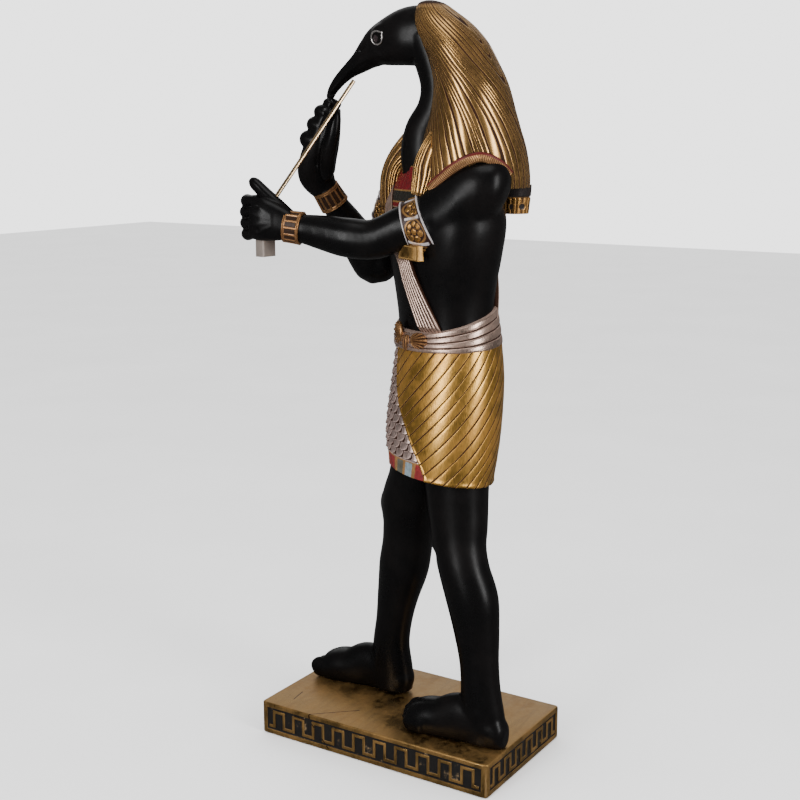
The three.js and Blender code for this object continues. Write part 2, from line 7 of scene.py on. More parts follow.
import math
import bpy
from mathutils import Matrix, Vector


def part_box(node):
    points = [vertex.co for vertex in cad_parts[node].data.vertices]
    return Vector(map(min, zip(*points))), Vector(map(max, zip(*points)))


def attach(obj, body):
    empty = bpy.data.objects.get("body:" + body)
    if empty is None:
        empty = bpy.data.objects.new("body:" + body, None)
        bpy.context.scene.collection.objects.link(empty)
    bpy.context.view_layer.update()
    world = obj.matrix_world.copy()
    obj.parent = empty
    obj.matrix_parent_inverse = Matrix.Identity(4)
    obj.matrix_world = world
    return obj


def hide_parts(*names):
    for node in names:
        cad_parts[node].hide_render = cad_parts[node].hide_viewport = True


bl_info = {
    "name": "Ibis-headed walking figure",
    "version": (1, 0, 0),
    "blender": (4, 5, 0),
    "location": "3D View > Sidebar > Figure",
    "description": "Carves and paints an ibis-headed walking figure over its packed model",
    "category": "Object",
}

import bpy
import numpy as np
from bpy.props import FloatProperty, FloatVectorProperty, IntProperty, PointerProperty
from bpy.types import Operator, Panel, PropertyGroup
from mathutils import Vector

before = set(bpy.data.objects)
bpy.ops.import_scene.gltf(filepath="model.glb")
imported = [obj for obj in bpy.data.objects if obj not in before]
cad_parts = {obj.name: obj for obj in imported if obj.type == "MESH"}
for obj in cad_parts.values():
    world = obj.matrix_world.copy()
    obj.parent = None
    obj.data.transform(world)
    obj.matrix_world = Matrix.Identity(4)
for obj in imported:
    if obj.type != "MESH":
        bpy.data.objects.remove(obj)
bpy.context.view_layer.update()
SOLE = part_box("figure")[0].z
SHARE = (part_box("figure")[1].z - SOLE) / 100
PLINTH_LOW, PLINTH_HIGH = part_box("plinth")
TAU = 2 * math.pi
UP = (0, 0, 1)
AHEAD = (0, -1, 0)


# Forms that follow the solids' own. The near lappet, the far leg's top two rows and the sash's first
# four are set a little differently here, and the wrap's edge is only here. A standing row is x, y,
# height, half width, half depth, facing in degrees from -Y towards +X, and where there is a seventh
# number, how far the ring falls for each share towards its front. A limb row is x, y, height, half
# width, half depth.

TORSO = [
    [-0.4, 4.9, 40, 8.0, 6.2, 54],
    [-0.8, 5.6, 50, 8.0, 6.1, 62],
    [-0.6, 5.4, 57, 7.5, 5.6, 65],
    [-0.5, 5.2, 62, 8.0, 5.8, 65],
    [-0.6, 5.1, 67, 9.5, 6.3, 63],
    [-1.0, 5.0, 71.5, 10.3, 6.6, 61],
    [-1.3, 4.7, 75, 9.4, 5.8, 60],
    [-1.3, 4.4, 78, 6.8, 4.6, 56],
    [-1.0, 3.8, 80.5, 3.6, 3.4, 35],
]
TORSO_SQUARE = 1.15

NECK = [
    [-0.9, 2.6, 77, 3.6, 3.8],
    [-0.4, 2.0, 80, 3.1, 3.4],
    [-0.2, 2.2, 83, 2.6, 2.9],
    [-0.1, 3.6, 86, 2.1, 2.4],
    [0, 4.1, 89, 2.0, 2.3],
    [0, 3.4, 92.5, 2.3, 2.6],
    [0, 2.2, 95.5, 2.6, 2.9],
]

SKULL = [
    [0, 5.4, 95.6, 1.6, 2.2],
    [0, 4.0, 95.6, 2.0, 3.6],
    [0, 1.2, 95.6, 2.75, 3.9],
    [0, -1.2, 95.4, 2.95, 3.7],
    [0, -4.6, 94.6, 2.1, 2.9],
    [0, -6.5, 93.6, 1.5, 2.2],
    [0, -8.1, 92.5, 1.1, 1.6],
    [0, -9.9, 91.4, 0.85, 1.15],
    [0, -11.4, 90.3, 0.7, 0.95],
    [0, -12.6, 89.1, 0.6, 0.8],
    [0, -13.3, 87.9, 0.5, 0.62],
    [0, -13.4, 87.2, 0.25, 0.3],
]

NEAR_LEG = [
    [1.7, 8.4, 44, 4.6, 5.0],
    [2.4, 9.1, 35, 4.1, 4.5],
    [3.0, 9.8, 30, 3.7, 4.1],
    [3.6, 10.4, 26.8, 3.4, 3.7],
    [4.1, 11.4, 23.8, 3.3, 3.6],
    [4.3, 12.8, 20, 3.3, 3.7],
    [4.6, 13.7, 15.5, 2.9, 3.2],
    [4.9, 14.3, 11.4, 2.5, 2.8],
    [5.1, 14.7, 7.5, 2.4, 2.9],
    [5.2, 15.1, 3.2, 2.4, 3.4],
    [5.2, 15.2, 0.4, 2.4, 3.5],
]

FAR_LEG = [
    [-1.4, 1.8, 44, 4.2, 4.5],
    [-1.3, 0.5, 35.5, 3.8, 4.1],
    [-1.9, -1.2, 30.6, 3.8, 4.2],
    [-2.5, -1.8, 26.8, 3.5, 3.9],
    [-2.8, -2.2, 23.8, 3.4, 3.8],
    [-2.9, -2.9, 20, 3.4, 3.8],
    [-2.9, -3.9, 15.5, 2.8, 3.2],
    [-2.9, -4.6, 11.4, 2.5, 2.8],
    [-2.9, -5.1, 7.5, 2.4, 2.9],
    [-3.0, -5.0, 3.2, 2.4, 3.4],
    [-3.0, -5.0, 0.4, 2.4, 3.3],
]

NEAR_ARM = [
    [2.5, 16.1, 75.4, 1.4, 1.5],
    [2.6, 15.4, 75.6, 2.7, 3.0],
    [2.8, 13.8, 75.9, 3.6, 3.8],
    [3.2, 11.6, 75.4, 3.8, 4.1],
    [3.9, 8.7, 73.0, 3.5, 4.3],
    [4.5, 5.6, 71.1, 3.2, 4.2],
    [5.4, 2.7, 70.7, 2.7, 3.0],
    [7.0, -1.2, 69.0, 2.5, 2.7],
    [8.2, -4.8, 69.1, 2.5, 2.7],
    [9.1, -8.2, 69.7, 2.2, 2.4],
    [10.0, -11.1, 70.2, 1.8, 2.0],
    [10.8, -13.4, 70.5, 1.6, 1.9],
]

FAR_ARM = [
    [-5.6, -2.5, 79.7, 1.3, 1.3],
    [-5.7, -2.7, 79.0, 2.7, 2.7],
    [-5.8, -3.2, 77.5, 3.6, 3.6],
    [-5.9, -4.0, 75.6, 3.7, 3.8],
    [-6.2, -5.2, 73.2, 3.3, 3.5],
    [-6.5, -7.3, 70, 2.8, 3.0],
    [-6.8, -9.4, 66.8, 2.6, 2.8],
]

FAR_FOREARM = [
    [-6.9, -9.8, 61.3, 1.2, 1.2],
    [-6.7, -10.4, 63.2, 2.7, 2.6],
    [-5.3, -11.6, 66.6, 2.8, 2.8],
    [-3.4, -12.8, 70, 2.3, 2.4],
    [-1.6, -13.8, 72.8, 1.9, 1.9],
    [-0.1, -14.5, 75.2, 1.7, 1.7],
]

WIG = [
    [0, 2.9, 100, 0.6, 0.6, 0],
    [0, 3.2, 99.6, 1.9, 1.7, 0],
    [0, 4.0, 98.4, 3.1, 2.7, 0],
    [0, 5.2, 96.8, 4.1, 3.7, 0],
    [-0.2, 6.7, 94.6, 4.9, 4.2, 4],
    [-0.4, 8.0, 92, 5.4, 4.4, 8],
    [-0.6, 9.0, 89, 6.0, 4.9, 16],
    [-0.9, 9.2, 85, 6.7, 5.8, 28],
    [-1.3, 9.0, 81, 7.4, 7.0, 34],
    [-1.7, 8.7, 78, 7.9, 7.6, 36],
    [-1.9, 8.5, 75.8, 7.7, 7.8, 36],
]

FAR_LAPPET = [
    [-3.6, 5.4, 87.5, 2.4, 1.5],
    [-3.7, 3.4, 84.8, 2.8, 1.9],
    [-3.0, 0.1, 82.0, 2.7, 2.0],
    [-1.7, -2.6, 79.2, 2.2, 1.6],
    [-0.7, -3.6, 76.6, 2.0, 1.2],
    [-0.6, -3.8, 72.8, 1.8, 1.0],
]

NEAR_LAPPET = [
    [3.6, 7.0, 85.6, 0.4, 0.2],
    [4.3, 6.9, 82.8, 1.2, 0.4],
    [4.75, 6.2, 80.6, 1.6, 0.75],
    [4.85, 5.5, 78.8, 1.75, 0.9],
    [5.2, 5.25, 77.1, 1.6, 0.9],
    [5.75, 5.0, 75.4, 1.25, 0.7],
    [5.9, 4.9, 74.8, 1.1, 0.5],
]

TAIL = [
    [-8.4, 10.5, 76, 4.2, 2.5, 58],
    [-8.5, 10.5, 74.8, 4.1, 2.4, 58],
    [-8.5, 10.4, 72.7, 3.9, 2.2, 58],
]

KILT = [
    [-0.3, 4.8, 36.3, 10.0, 6.8, 50, -0.12],
    [-0.5, 5.1, 42.4, 9.8, 7.3, 56, 0],
    [-0.8, 5.6, 49.5, 9.0, 7.1, 60, 0.05],
    [-0.9, 5.7, 55.0, 8.2, 6.5, 63, 0.06],
]

BELT = [
    [-0.8, 5.6, 54.5, 8.4, 6.6, 63, 0.06],
    [-0.7, 5.5, 55.8, 8.2, 6.5, 63, 0.15],
    [-0.7, 5.4, 57.2, 7.9, 6.3, 64, 0.24],
    [-0.6, 5.4, 58.6, 7.7, 6.0, 65, 0.33],
]

# The sash's middle line on the torso: turn in degrees, height, half width.
SASH = [
    [61, 56.4, 1.6],
    [74, 59.5, 1.6],
    [86, 63.5, 1.5],
    [92, 67.2, 1.35],
    [108, 72, 1.15],
    [128, 75.5, 1.2],
    [152, 78.2, 1.2],
    [196, 78.4, 1.2],
    [236, 74, 1.2],
    [262, 68.5, 1.3],
    [290, 62.5, 1.4],
    [312, 57.5, 1.5],
]

# The wrapped kilt's free edge: height and turn. The apron shows from there to its far side.
WRAP_EDGE = [
    [35, 42], [37, 46], [39, 54], [41.5, 65], [44, 75], [47, 90], [49.6, 100], [52.8, 108], [55, 112],
]
APRON_FAR_EDGE = 146

# Steps on a curve between two stations: for the tables that are read off, and for limbs.
FINE_STEPS = 24
LIMB_STEPS = 8

# The photo's camera, with its turn and fall in degrees, and the studio's even light: what the camera
# sees of it, what falls softly on the figure, and the little that is mirrored.
CAMERA_PLACE = (1.319, 0.822, 0.761)
CAMERA_TURN, CAMERA_FALL = -147.6, -11.7
LENS, SENSOR = 58.5, 36
SEEN_SKY, SOFT_SKY, LEAST_SKY = 2.6, 1.6, 0.13

# Below the plinth's frames, the ground is sunk by more than this, in metres.
SUNK = 0.0015


# Surfaces worked out as whole arrays


def spline(stations, steps):
    """Rows between stations on a Catmull-Rom curve: for neighbours a, b, c, d and t from 0 to 1, half
    of 2b + (c - a)t + (2a - 5b + 4c - d)t^2 + (3b - a - 3c + d)t^3, for every number of a row."""
    rows = np.asarray(stations, float)
    ends = np.vstack([rows[:1], rows, rows[-1:]])
    a, b, c, d = ends[:-3, None], ends[1:-2, None], ends[2:-1, None], ends[3:, None]
    t = (np.arange(steps) / steps)[None, :, None]
    curve = 2 * b + (c - a) * t + (2 * a - 5 * b + 4 * c - d) * t**2
    curve = 0.5 * (curve + (3 * b - a - 3 * c + d) * t**3)
    return np.vstack([curve.reshape(-1, rows.shape[1]), rows[-1:]])


def even_rows(stations, count):
    """Rows along the same curve, count of them, spaced evenly by the length of their middle line."""
    rows = spline(stations, FINE_STEPS)
    far = np.concatenate([[0], np.cumsum(np.linalg.norm(np.diff(rows[:, :3], axis=0), axis=1))])
    at = np.linspace(0, far[-1], count)
    return np.stack([np.interp(at, far, column) for column in rows.T], axis=1)


def outline(turn, square):
    """A rounded section of unit size: cosine and sine, each to the power of one over square."""
    c, s = np.cos(turn), np.sin(turn)
    return np.sign(c) * np.abs(c) ** (1 / square), np.sign(s) * np.abs(s) ** (1 / square)


def turns_round(count):
    return np.arange(count) / count * TAU


def even_grid(stations, count, sides):
    """Even rows, the turns round them, and each row's place from 0 to 1 along them."""
    return even_rows(stations, count), turns_round(sides), np.linspace(0, 1, count)[:, None]


def about_z(degrees):
    c, s = math.cos(math.radians(degrees)), math.sin(math.radians(degrees))
    return np.array([[c, s, 0], [-s, c, 0], [0, 0, 1]])


def level_points(rows, turns, out=0.0, square=1.0):
    """Level sections of a standing form: the middle, plus (half width + out) cos(turn) to the form's
    left, plus (half depth + out) sin(turn) to its front, both turned by the row's facing. A ring
    with a fall drops by it times the reach towards the front."""
    rows = np.asarray(rows, float)
    x, y, z, wide, deep, facing = (column[:, None] for column in rows.T[:6])
    fall = rows[:, 6:7] if rows.shape[1] > 6 else 0.0
    f = np.radians(facing)
    c, s = outline(turns, square)
    left, front = (wide + out) * c, (deep + out) * s
    across = x + left * np.cos(f) + front * np.sin(f)
    along = y + left * np.sin(f) - front * np.cos(f)
    return np.stack([across, along, z - fall * front], axis=-1)


def path_points(rows, front, turns, out=0.0, square=1.0):
    """Sections square to a path: the middle, plus (half width + out) cos(turn) across it and
    (half depth + out) sin(turn) towards front, with front made square to the path at each row."""
    middle = rows[:, :3]
    along = np.gradient(middle, axis=0)
    along /= np.linalg.norm(along, axis=1, keepdims=True)
    deep = np.asarray(front, float) - along * (along @ np.asarray(front, float))[:, None]
    deep /= np.linalg.norm(deep, axis=1, keepdims=True)
    wide = np.cross(along, deep)
    c, s = outline(turns, square)
    reach = [(rows[:, n, None] + out) * share for n, share in ((3, c), (4, s))]
    return middle[:, None] + reach[0][..., None] * wide[:, None] + reach[1][..., None] * deep[:, None]


def ball(middle, radii, turn=0.0, tilt=0.0, count=24):
    """An ellipsoid: the unit sphere of rings and turns, scaled, tilted about X and turned about Z."""
    up = np.linspace(0.02, math.pi - 0.02, count)[:, None]
    round_ = turns_round(count * 2)[None]
    points = np.stack([np.sin(up) * np.cos(round_), np.sin(up) * np.sin(round_),
                       np.cos(up) + 0 * round_], axis=-1) * np.asarray(radii, float)
    c, s = math.cos(math.radians(tilt)), math.sin(math.radians(tilt))
    points = points @ np.array([[1, 0, 0], [0, c, s], [0, -s, c]])
    return points @ about_z(turn) + np.asarray(middle, float)


def skin(rings):
    """Points, quads and end fans of one closed skin over rings of points, facing outwards."""
    count, sides = rings.shape[:2]
    points = np.vstack([rings.reshape(-1, 3), rings[0].mean(0), rings[-1].mean(0)])
    ring, side = np.arange(count - 1)[:, None] * sides, np.arange(sides)[None]
    after = (side + 1) % sides
    quads = np.stack([ring + side, ring + after, ring + sides + after, ring + sides + side], -1)
    quads = quads.reshape(-1, 4)
    first, last, top = count * sides, count * sides + 1, (count - 1) * sides
    side, after = side[0], after[0]
    fans = np.concatenate([np.stack([after, side, side * 0 + first], -1),
                           np.stack([top + side, top + after, side * 0 + last], -1)])
    a, b, c, d = (points[quads[:, n]] for n in range(4))
    if (np.einsum("ij,ij->i", a, np.cross(b, c)) + np.einsum("ij,ij->i", a, np.cross(c, d))).sum() < 0:
        quads, fans = quads[:, ::-1], fans[:, ::-1]
    return points, quads, fans


def new_object(name, data):
    made = bpy.data.objects.new(name, data)
    bpy.context.scene.collection.objects.link(made)
    return made


def smooth_shade(mesh):
    mesh.polygons.foreach_set("use_smooth", np.ones(len(mesh.polygons), bool))


def mesh_object(name, points, *faces):
    """A smooth-shaded object at the origin, from points in shares and arrays of faces."""
    mesh = bpy.data.meshes.new(name)
    corners = [face for part in faces for face in part.tolist()]
    mesh.from_pydata((np.asarray(points) * SHARE + [0, 0, SOLE]).tolist(), [], corners)
    smooth_shade(mesh)
    return new_object(name, mesh)


def ring_object(name, rings, **values):
    """One closed skin as an object, with a value for each ring point kept as a named attribute."""
    piece = mesh_object(name, *skin(rings))
    for key, value in values.items():
        keep_values(piece, key, pad_ends(value))
    return piece


def pad_ends(value):
    """Values for the ring points, then for the two points that close the ends."""
    flat = value.reshape(-1, *value.shape[2:])
    return np.concatenate([flat, flat[:1], flat[-1:]])


def keep_values(piece, key, value):
    """Keeps one number or one colour for each point as a named attribute."""
    colour = value.ndim > 1
    kind = "FLOAT_COLOR" if colour else "FLOAT"
    layer = piece.data.attributes.new(key, kind, "POINT")
    if colour:
        value = np.concatenate([value, np.ones((len(value), 1))], axis=1)
    layer.data.foreach_set("color" if colour else "value", value.astype(np.float32).ravel())


def finish_modifiers(piece):
    """Puts the result of the modifiers in place of the mesh."""
    graph = bpy.context.evaluated_depsgraph_get()
    mesh = bpy.data.meshes.new_from_object(piece.evaluated_get(graph))
    piece.modifiers.clear()
    piece.data = mesh
    smooth_shade(mesh)


def fuse(name, forms, grain, passes):
    """Closed skins melted into one: a voxel remesh of their union, then passes of evening out."""
    points, faces, count = [], [], 0
    for rings in forms:
        part, quads, fans = skin(rings)
        points.append(part)
        faces += [quads + count, fans + count]
        count += len(part)
    piece = mesh_object(name, np.vstack(points), *faces)
    melt = piece.modifiers.new("Melt", "REMESH")
    melt.mode = "VOXEL"
    melt.voxel_size = grain
    even = piece.modifiers.new("Even", "SMOOTH")
    even.factor = 0.5
    even.iterations = passes
    finish_modifiers(piece)
    return piece


def read_rows(piece, key):
    """Three numbers for each point: its place in metres, co, or its normal."""
    flat = np.empty(len(piece.data.vertices) * 3, np.float32)
    piece.data.vertices.foreach_get(key, flat)
    return flat.reshape(-1, 3)


def read_points(piece):
    return (read_rows(piece, "co") - [0, 0, SOLE]) / SHARE


def write_points(piece, points):
    world = points * SHARE + [0, 0, SOLE]
    piece.data.vertices.foreach_set("co", world.astype(np.float32).ravel())
    piece.data.update()


def distance_to_line(points, line):
    """The distance from each point to a line of straight runs: the least over the runs of the
    distance to the nearest point of that run."""
    best = np.full(len(points), np.inf)
    for start, end in zip(line[:-1], line[1:]):
        run = end - start
        t = np.clip((points - start) @ run / (run @ run), 0, 1)
        best = np.minimum(best, np.linalg.norm(points - start - t[:, None] * run, axis=1))
    return best


def press(piece, line, width, depth):
    """Sinks a channel along a line, or raises one where depth is negative: each point moves against
    its normal by depth times exp(-(distance / width)^2)."""
    points, normals = read_points(piece), read_rows(piece, "normal").astype(float)
    near = np.exp(-(distance_to_line(points, np.asarray(line, float)) / width) ** 2)
    write_points(piece, points - normals * (depth * near)[:, None])


def step_between(value, low, high):
    """0 at low and 1 at high, and 3t^2 - 2t^3 between them."""
    t = np.clip((value - low) / (high - low), 0, 1)
    return t * t * (3 - 2 * t)


def groove_at(phase, width):
    """1 at whole numbers of phase, falling as exp(-(distance / width)^2) on both sides."""
    return np.exp(-((phase - np.round(phase)) / width) ** 2)


def row_at(stations, height):
    """The rows of a standing form at any heights, each number read off its curve."""
    rows = spline(stations, FINE_STEPS)
    rows = rows[np.argsort(rows[:, 2])]
    return np.stack([np.interp(height, rows[:, 2], column) for column in rows.T], axis=-1)


def on_form(stations, degrees, height, out, square=1.0):
    """Points on a standing form's skin, each at its own turn, height and distance out."""
    degrees, height, out = np.broadcast_arrays(*(np.asarray(v, float) for v in (degrees, height, out)))
    rows = row_at(stations, height.ravel())
    turn = np.radians(degrees.ravel())[:, None]
    return level_points(rows, turn, out.ravel()[:, None], square).reshape(degrees.shape + (3,))


def on_torso(degrees, height, out):
    return on_form(TORSO, degrees, height, out, TORSO_SQUARE)


def laid_on_torso(points, out):
    """The same points moved level onto the torso: each keeps its height and its turn, which is the
    angle of (front / half depth) and (left / half width), each to the power of the section's square."""
    flat = points.reshape(-1, 3)
    x, y, _, wide, deep, facing = row_at(TORSO, flat[:, 2]).T
    f = np.radians(facing)
    off = flat[:, :2] - np.stack([x, y], axis=-1)
    left = (off[:, 0] * np.cos(f) + off[:, 1] * np.sin(f)) / wide
    front = (off[:, 0] * np.sin(f) - off[:, 1] * np.cos(f)) / deep
    left, front = (np.sign(part) * np.abs(part) ** TORSO_SQUARE for part in (left, front))
    turn = np.arctan2(front, left)
    spots = on_torso(np.degrees(turn), flat[:, 2], np.broadcast_to(out, points.shape[:-1]).ravel())
    return spots.reshape(points.shape)


def ride(piece, key):
    """Gives a piece its finish and its material slot, and lets it ride on the model."""
    piece.data.materials.clear()
    piece.data.materials.append(material_of(key))
    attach(piece, "root")
    return piece


def sheet(name, outer, inner, slot, key, **values):
    """A thick sheet as one skin: each row's ring runs along its outer points and back along every
    eighth of the inner ones."""
    back = np.unique(np.append(np.arange(0, outer.shape[1], 8), outer.shape[1] - 1))[::-1]
    rings = np.concatenate([outer, inner[:, back]], axis=1)
    kept = {label: np.concatenate([value, value[:, back]], axis=1) for label, value in values.items()}
    return ride(ring_object(name, rings, **kept), key)


def plain_paint(shape, colour):
    """One colour for every point of a grid."""
    return np.zeros(shape + (3,)) + colour


# Shader groups, each made once

POINT, TINT, VALUE = "NodeSocketVector", "NodeSocketColor", "NodeSocketFloat"


def new_group(name, inputs, outputs):
    group = bpy.data.node_groups.new(name, "ShaderNodeTree")
    for key, kind, default in inputs:
        socket = group.interface.new_socket(key, in_out="INPUT", socket_type=kind)
        if default is not None:
            socket.default_value = default
    for key, kind in outputs:
        group.interface.new_socket(key, in_out="OUTPUT", socket_type=kind)
    return group, group.nodes.new("NodeGroupInput"), group.nodes.new("NodeGroupOutput")


def feed(tree, target, inputs):
    """Links or sets a node's inputs, by name or number."""
    for key, value in inputs.items():
        if isinstance(value, bpy.types.NodeSocket):
            tree.links.new(value, target.inputs[key])
        else:
            target.inputs[key].default_value = value


def node(tree, kind, inputs, **settings):
    made = tree.nodes.new(kind)
    for key, value in settings.items():
        setattr(made, key, value)
    feed(tree, made, inputs)
    return made


def attribute(tree, name, output="Fac"):
    return node(tree, "ShaderNodeAttribute", {}, attribute_name=name).outputs[output]


def maths(tree, operation, first, second=0.0, clamp=False):
    made = node(tree, "ShaderNodeMath", {0: first, 1: second}, operation=operation, use_clamp=clamp)
    return made.outputs[0]


def spread(tree, value, low, high, to_low=0.0, to_high=1.0):
    made = node(tree, "ShaderNodeMapRange", {"Value": value, "From Min": low, "From Max": high,
                                             "To Min": to_low, "To Max": to_high})
    return made.outputs["Result"]


def mix_colour(tree, share, first, second, blend="MIX"):
    made = node(tree, "ShaderNodeMix", {}, data_type="RGBA", blend_type=blend)
    feed(tree, made, {0: share, 6: first, 7: second})
    return made.outputs[2]


def noise(tree, place, scale, detail=3.0, rough=0.55, twist=0.0):
    made = node(tree, "ShaderNodeTexNoise", {"Vector": place, "Scale": scale, "Detail": detail,
                                             "Roughness": rough, "Distortion": twist})
    return made.outputs["Fac"]


def leaf_group():
    """Metal leaf over a darker size: patches, fine cross brushing, and a dark tone drawn along grooves."""
    name = "Leaf and grime"
    if name in bpy.data.node_groups:
        return bpy.data.node_groups[name]
    group, given, result = new_group(
        name,
        [("Place", POINT, None), ("Leaf", TINT, (0.6, 0.4, 0.15, 1)), ("Worn", TINT, (0.3, 0.16, 0.05, 1)),
         ("Grime", TINT, (0.03, 0.015, 0.008, 1)), ("Groove", VALUE, 0.0), ("Patchiness", VALUE, 0.5),
         ("Grain", VALUE, 1.0), ("Smooth", VALUE, 0.3), ("Rough", VALUE, 0.55)],
        [("Colour", TINT), ("Roughness", VALUE), ("Metallic", VALUE), ("Height", VALUE), ("Shine", VALUE)],
    )
    place, grain = given.outputs["Place"], given.outputs["Grain"]
    broad = noise(group, place, 22.0, 4.0, 0.6)
    mottle = noise(group, place, 140.0, 3.0, 0.6)
    patch = maths(group, "ADD", maths(group, "MULTIPLY", broad, 0.7), maths(group, "MULTIPLY", mottle, 0.3))
    patch = maths(group, "MULTIPLY", spread(group, patch, 0.42, 0.66), given.outputs["Patchiness"], True)
    lines = []
    for turn in (0.6, -0.7):
        lean = node(group, "ShaderNodeMapping", {"Vector": place, "Rotation": (0.4, turn, turn),
                                                 "Scale": (1100.0, 1100.0, 160.0)}).outputs[0]
        lines.append(noise(group, lean, 1.0, 1.0, 0.5))
    brushed = maths(group, "MULTIPLY", maths(group, "ADD", lines[0], lines[1]), grain)
    colour = mix_colour(group, patch, given.outputs["Leaf"], given.outputs["Worn"])
    shade = spread(group, brushed, 0.6, 1.4, 0.78, 1.18)
    grey = node(group, "ShaderNodeCombineColor", {0: shade, 1: shade, 2: shade}).outputs[0]
    colour = mix_colour(group, 1.0, colour, grey, "MULTIPLY")
    # The groove attribute mixes the colour towards the dark groove tone.
    dark = spread(group, given.outputs["Groove"], 0.18, 0.8)
    colour = mix_colour(group, dark, colour, given.outputs["Grime"])
    rougher = maths(group, "SUBTRACT", given.outputs["Rough"], given.outputs["Smooth"])
    rough = maths(group, "ADD", given.outputs["Smooth"], maths(group, "MULTIPLY", patch, rougher))
    rough = maths(group, "ADD", rough, spread(group, brushed, 0.6, 1.4, -0.05, 0.07))
    rough = maths(group, "ADD", rough, maths(group, "MULTIPLY", dark, 0.25), True)
    bare = maths(group, "SUBTRACT", 1.0, maths(group, "MULTIPLY", dark, 0.9))
    metal = maths(group, "MULTIPLY", bare, spread(group, patch, 0.0, 1.0, 1.0, 0.7))
    coarse = maths(group, "MULTIPLY", mottle, 0.8)
    height = maths(group, "ADD", maths(group, "MULTIPLY", brushed, 0.5), coarse)
    shine = maths(group, "MULTIPLY", bare, 0.45)
    feed(group, result, {"Colour": colour, "Roughness": rough, "Metallic": metal, "Height": height,
                         "Shine": shine})
    return group


def lacquer_group():
    """Hand-rubbed dark lacquer: a cloudy gloss with fine specks and faint brush marks."""
    name = "Rubbed lacquer"
    if name in bpy.data.node_groups:
        return bpy.data.node_groups[name]
    group, given, result = new_group(
        name,
        [("Place", POINT, None), ("Base", TINT, (0.01, 0.01, 0.01, 1)),
         ("Rub", TINT, (0.03, 0.022, 0.02, 1)), ("Gloss", VALUE, 0.3)],
        [("Colour", TINT), ("Roughness", VALUE), ("Height", VALUE)],
    )
    place = given.outputs["Place"]
    cloud = noise(group, place, 14.0, 4.0, 0.6)
    speck = noise(group, place, 260.0, 2.0, 0.6)
    lean = node(group, "ShaderNodeMapping", {"Vector": place, "Scale": (300.0, 300.0, 40.0)}).outputs[0]
    brush = noise(group, lean, 1.0, 2.0, 0.5)
    colour = mix_colour(group, spread(group, cloud, 0.45, 0.75), given.outputs["Base"], given.outputs["Rub"])
    rough = maths(group, "ADD", given.outputs["Gloss"], spread(group, cloud, 0.3, 0.7, -0.05, 0.08))
    rough = maths(group, "ADD", rough, spread(group, speck, 0.3, 0.7, -0.03, 0.03), True)
    height = maths(group, "ADD", maths(group, "MULTIPLY", brush, 0.5), maths(group, "MULTIPLY", speck, 0.5))
    feed(group, result, {"Colour": colour, "Roughness": rough, "Height": height})
    return group


# Materials


def start_material(name):
    material = bpy.data.materials.new(name)
    material.use_nodes = True
    tree = material.node_tree
    shader = tree.nodes["Principled BSDF"]
    place = tree.nodes.new("ShaderNodeTexCoord").outputs["Object"]
    return material, tree, shader, place


def bump_into(tree, shader, height, strength, depth):
    bump = node(tree, "ShaderNodeBump", {"Height": height, "Strength": strength, "Distance": depth})
    tree.links.new(bump.outputs[0], shader.inputs["Normal"])


def leaf_node(tree, place, leaf, worn, grime, patchiness, smooth, rough, grain):
    made = node(tree, "ShaderNodeGroup", {}, node_tree=leaf_group())
    feed(tree, made, {"Place": place, "Leaf": (*leaf, 1), "Worn": (*worn, 1), "Grime": (*grime, 1),
                      "Patchiness": patchiness, "Smooth": smooth, "Rough": rough, "Grain": grain})
    return made


def leaf_material(name, leaf, worn, grime, patchiness=0.6, smooth=0.3, rough=0.5, grain=1.0, groove=True,
                  paint=False, bump=0.25, strand=0.0):
    """Metal leaf over size, with the groove and paint attributes where the piece keeps them. A piece
    may also keep strand, which counts its locks or pleats: a dark line runs at each whole number,
    strand wide, thinner here and there."""
    material, tree, shader, place = start_material(name)
    made = leaf_node(tree, place, leaf, worn, grime, patchiness, smooth, rough, grain)
    if groove:
        dark = attribute(tree, "groove")
        if strand:
            thinned = spread(tree, noise(tree, place, 30.0), 0.35, 0.65, 0.7, 1.1)
            wear = maths(tree, "MULTIPLY", thinned, strand)
            line = maths(tree, "DIVIDE", maths(tree, "PINGPONG", attribute(tree, "strand"), 0.5), wear)
            dark = maths(tree, "MAXIMUM", dark, spread(tree, line, 1.0, 0.45))
        feed(tree, made, {"Groove": dark})
    colour, metal, shine = (made.outputs[key] for key in ("Colour", "Metallic", "Shine"))
    if paint:
        cover = attribute(tree, "enamel")
        mottled = mix_colour(tree, spread(tree, noise(tree, place, 160.0), 0.35, 0.7, 0.0, 0.45),
                             attribute(tree, "paint", "Color"), (0.02, 0.012, 0.01, 1))
        colour = mix_colour(tree, cover, colour, mottled)
        bare = maths(tree, "SUBTRACT", 1.0, maths(tree, "MULTIPLY", cover, 0.85))
        metal = maths(tree, "MULTIPLY", metal, bare)
        shine = maths(tree, "MULTIPLY", shine, spread(tree, cover, 0.0, 1.0, 1.0, 0.4))
    feed(tree, shader, {"Specular IOR Level": shine, "Base Color": colour, "Metallic": metal,
                        "Roughness": made.outputs["Roughness"]})
    height = made.outputs["Height"]
    if strand:
        height = maths(tree, "SUBTRACT", height, maths(tree, "MULTIPLY", dark, 2.5))
    bump_into(tree, shader, height, bump, 0.0004)
    return material


def lacquer_material(name, base, rub, gloss):
    material, tree, shader, place = start_material(name)
    made = node(tree, "ShaderNodeGroup", {}, node_tree=lacquer_group())
    feed(tree, made, {"Place": place, "Base": (*base, 1), "Rub": (*rub, 1), "Gloss": gloss})
    feed(tree, shader, {"Base Color": made.outputs["Colour"], "Roughness": made.outputs["Roughness"],
                        "IOR": 1.45, "Specular IOR Level": 0.2})
    bump_into(tree, shader, made.outputs["Height"], 0.05, 0.0004)
    return material


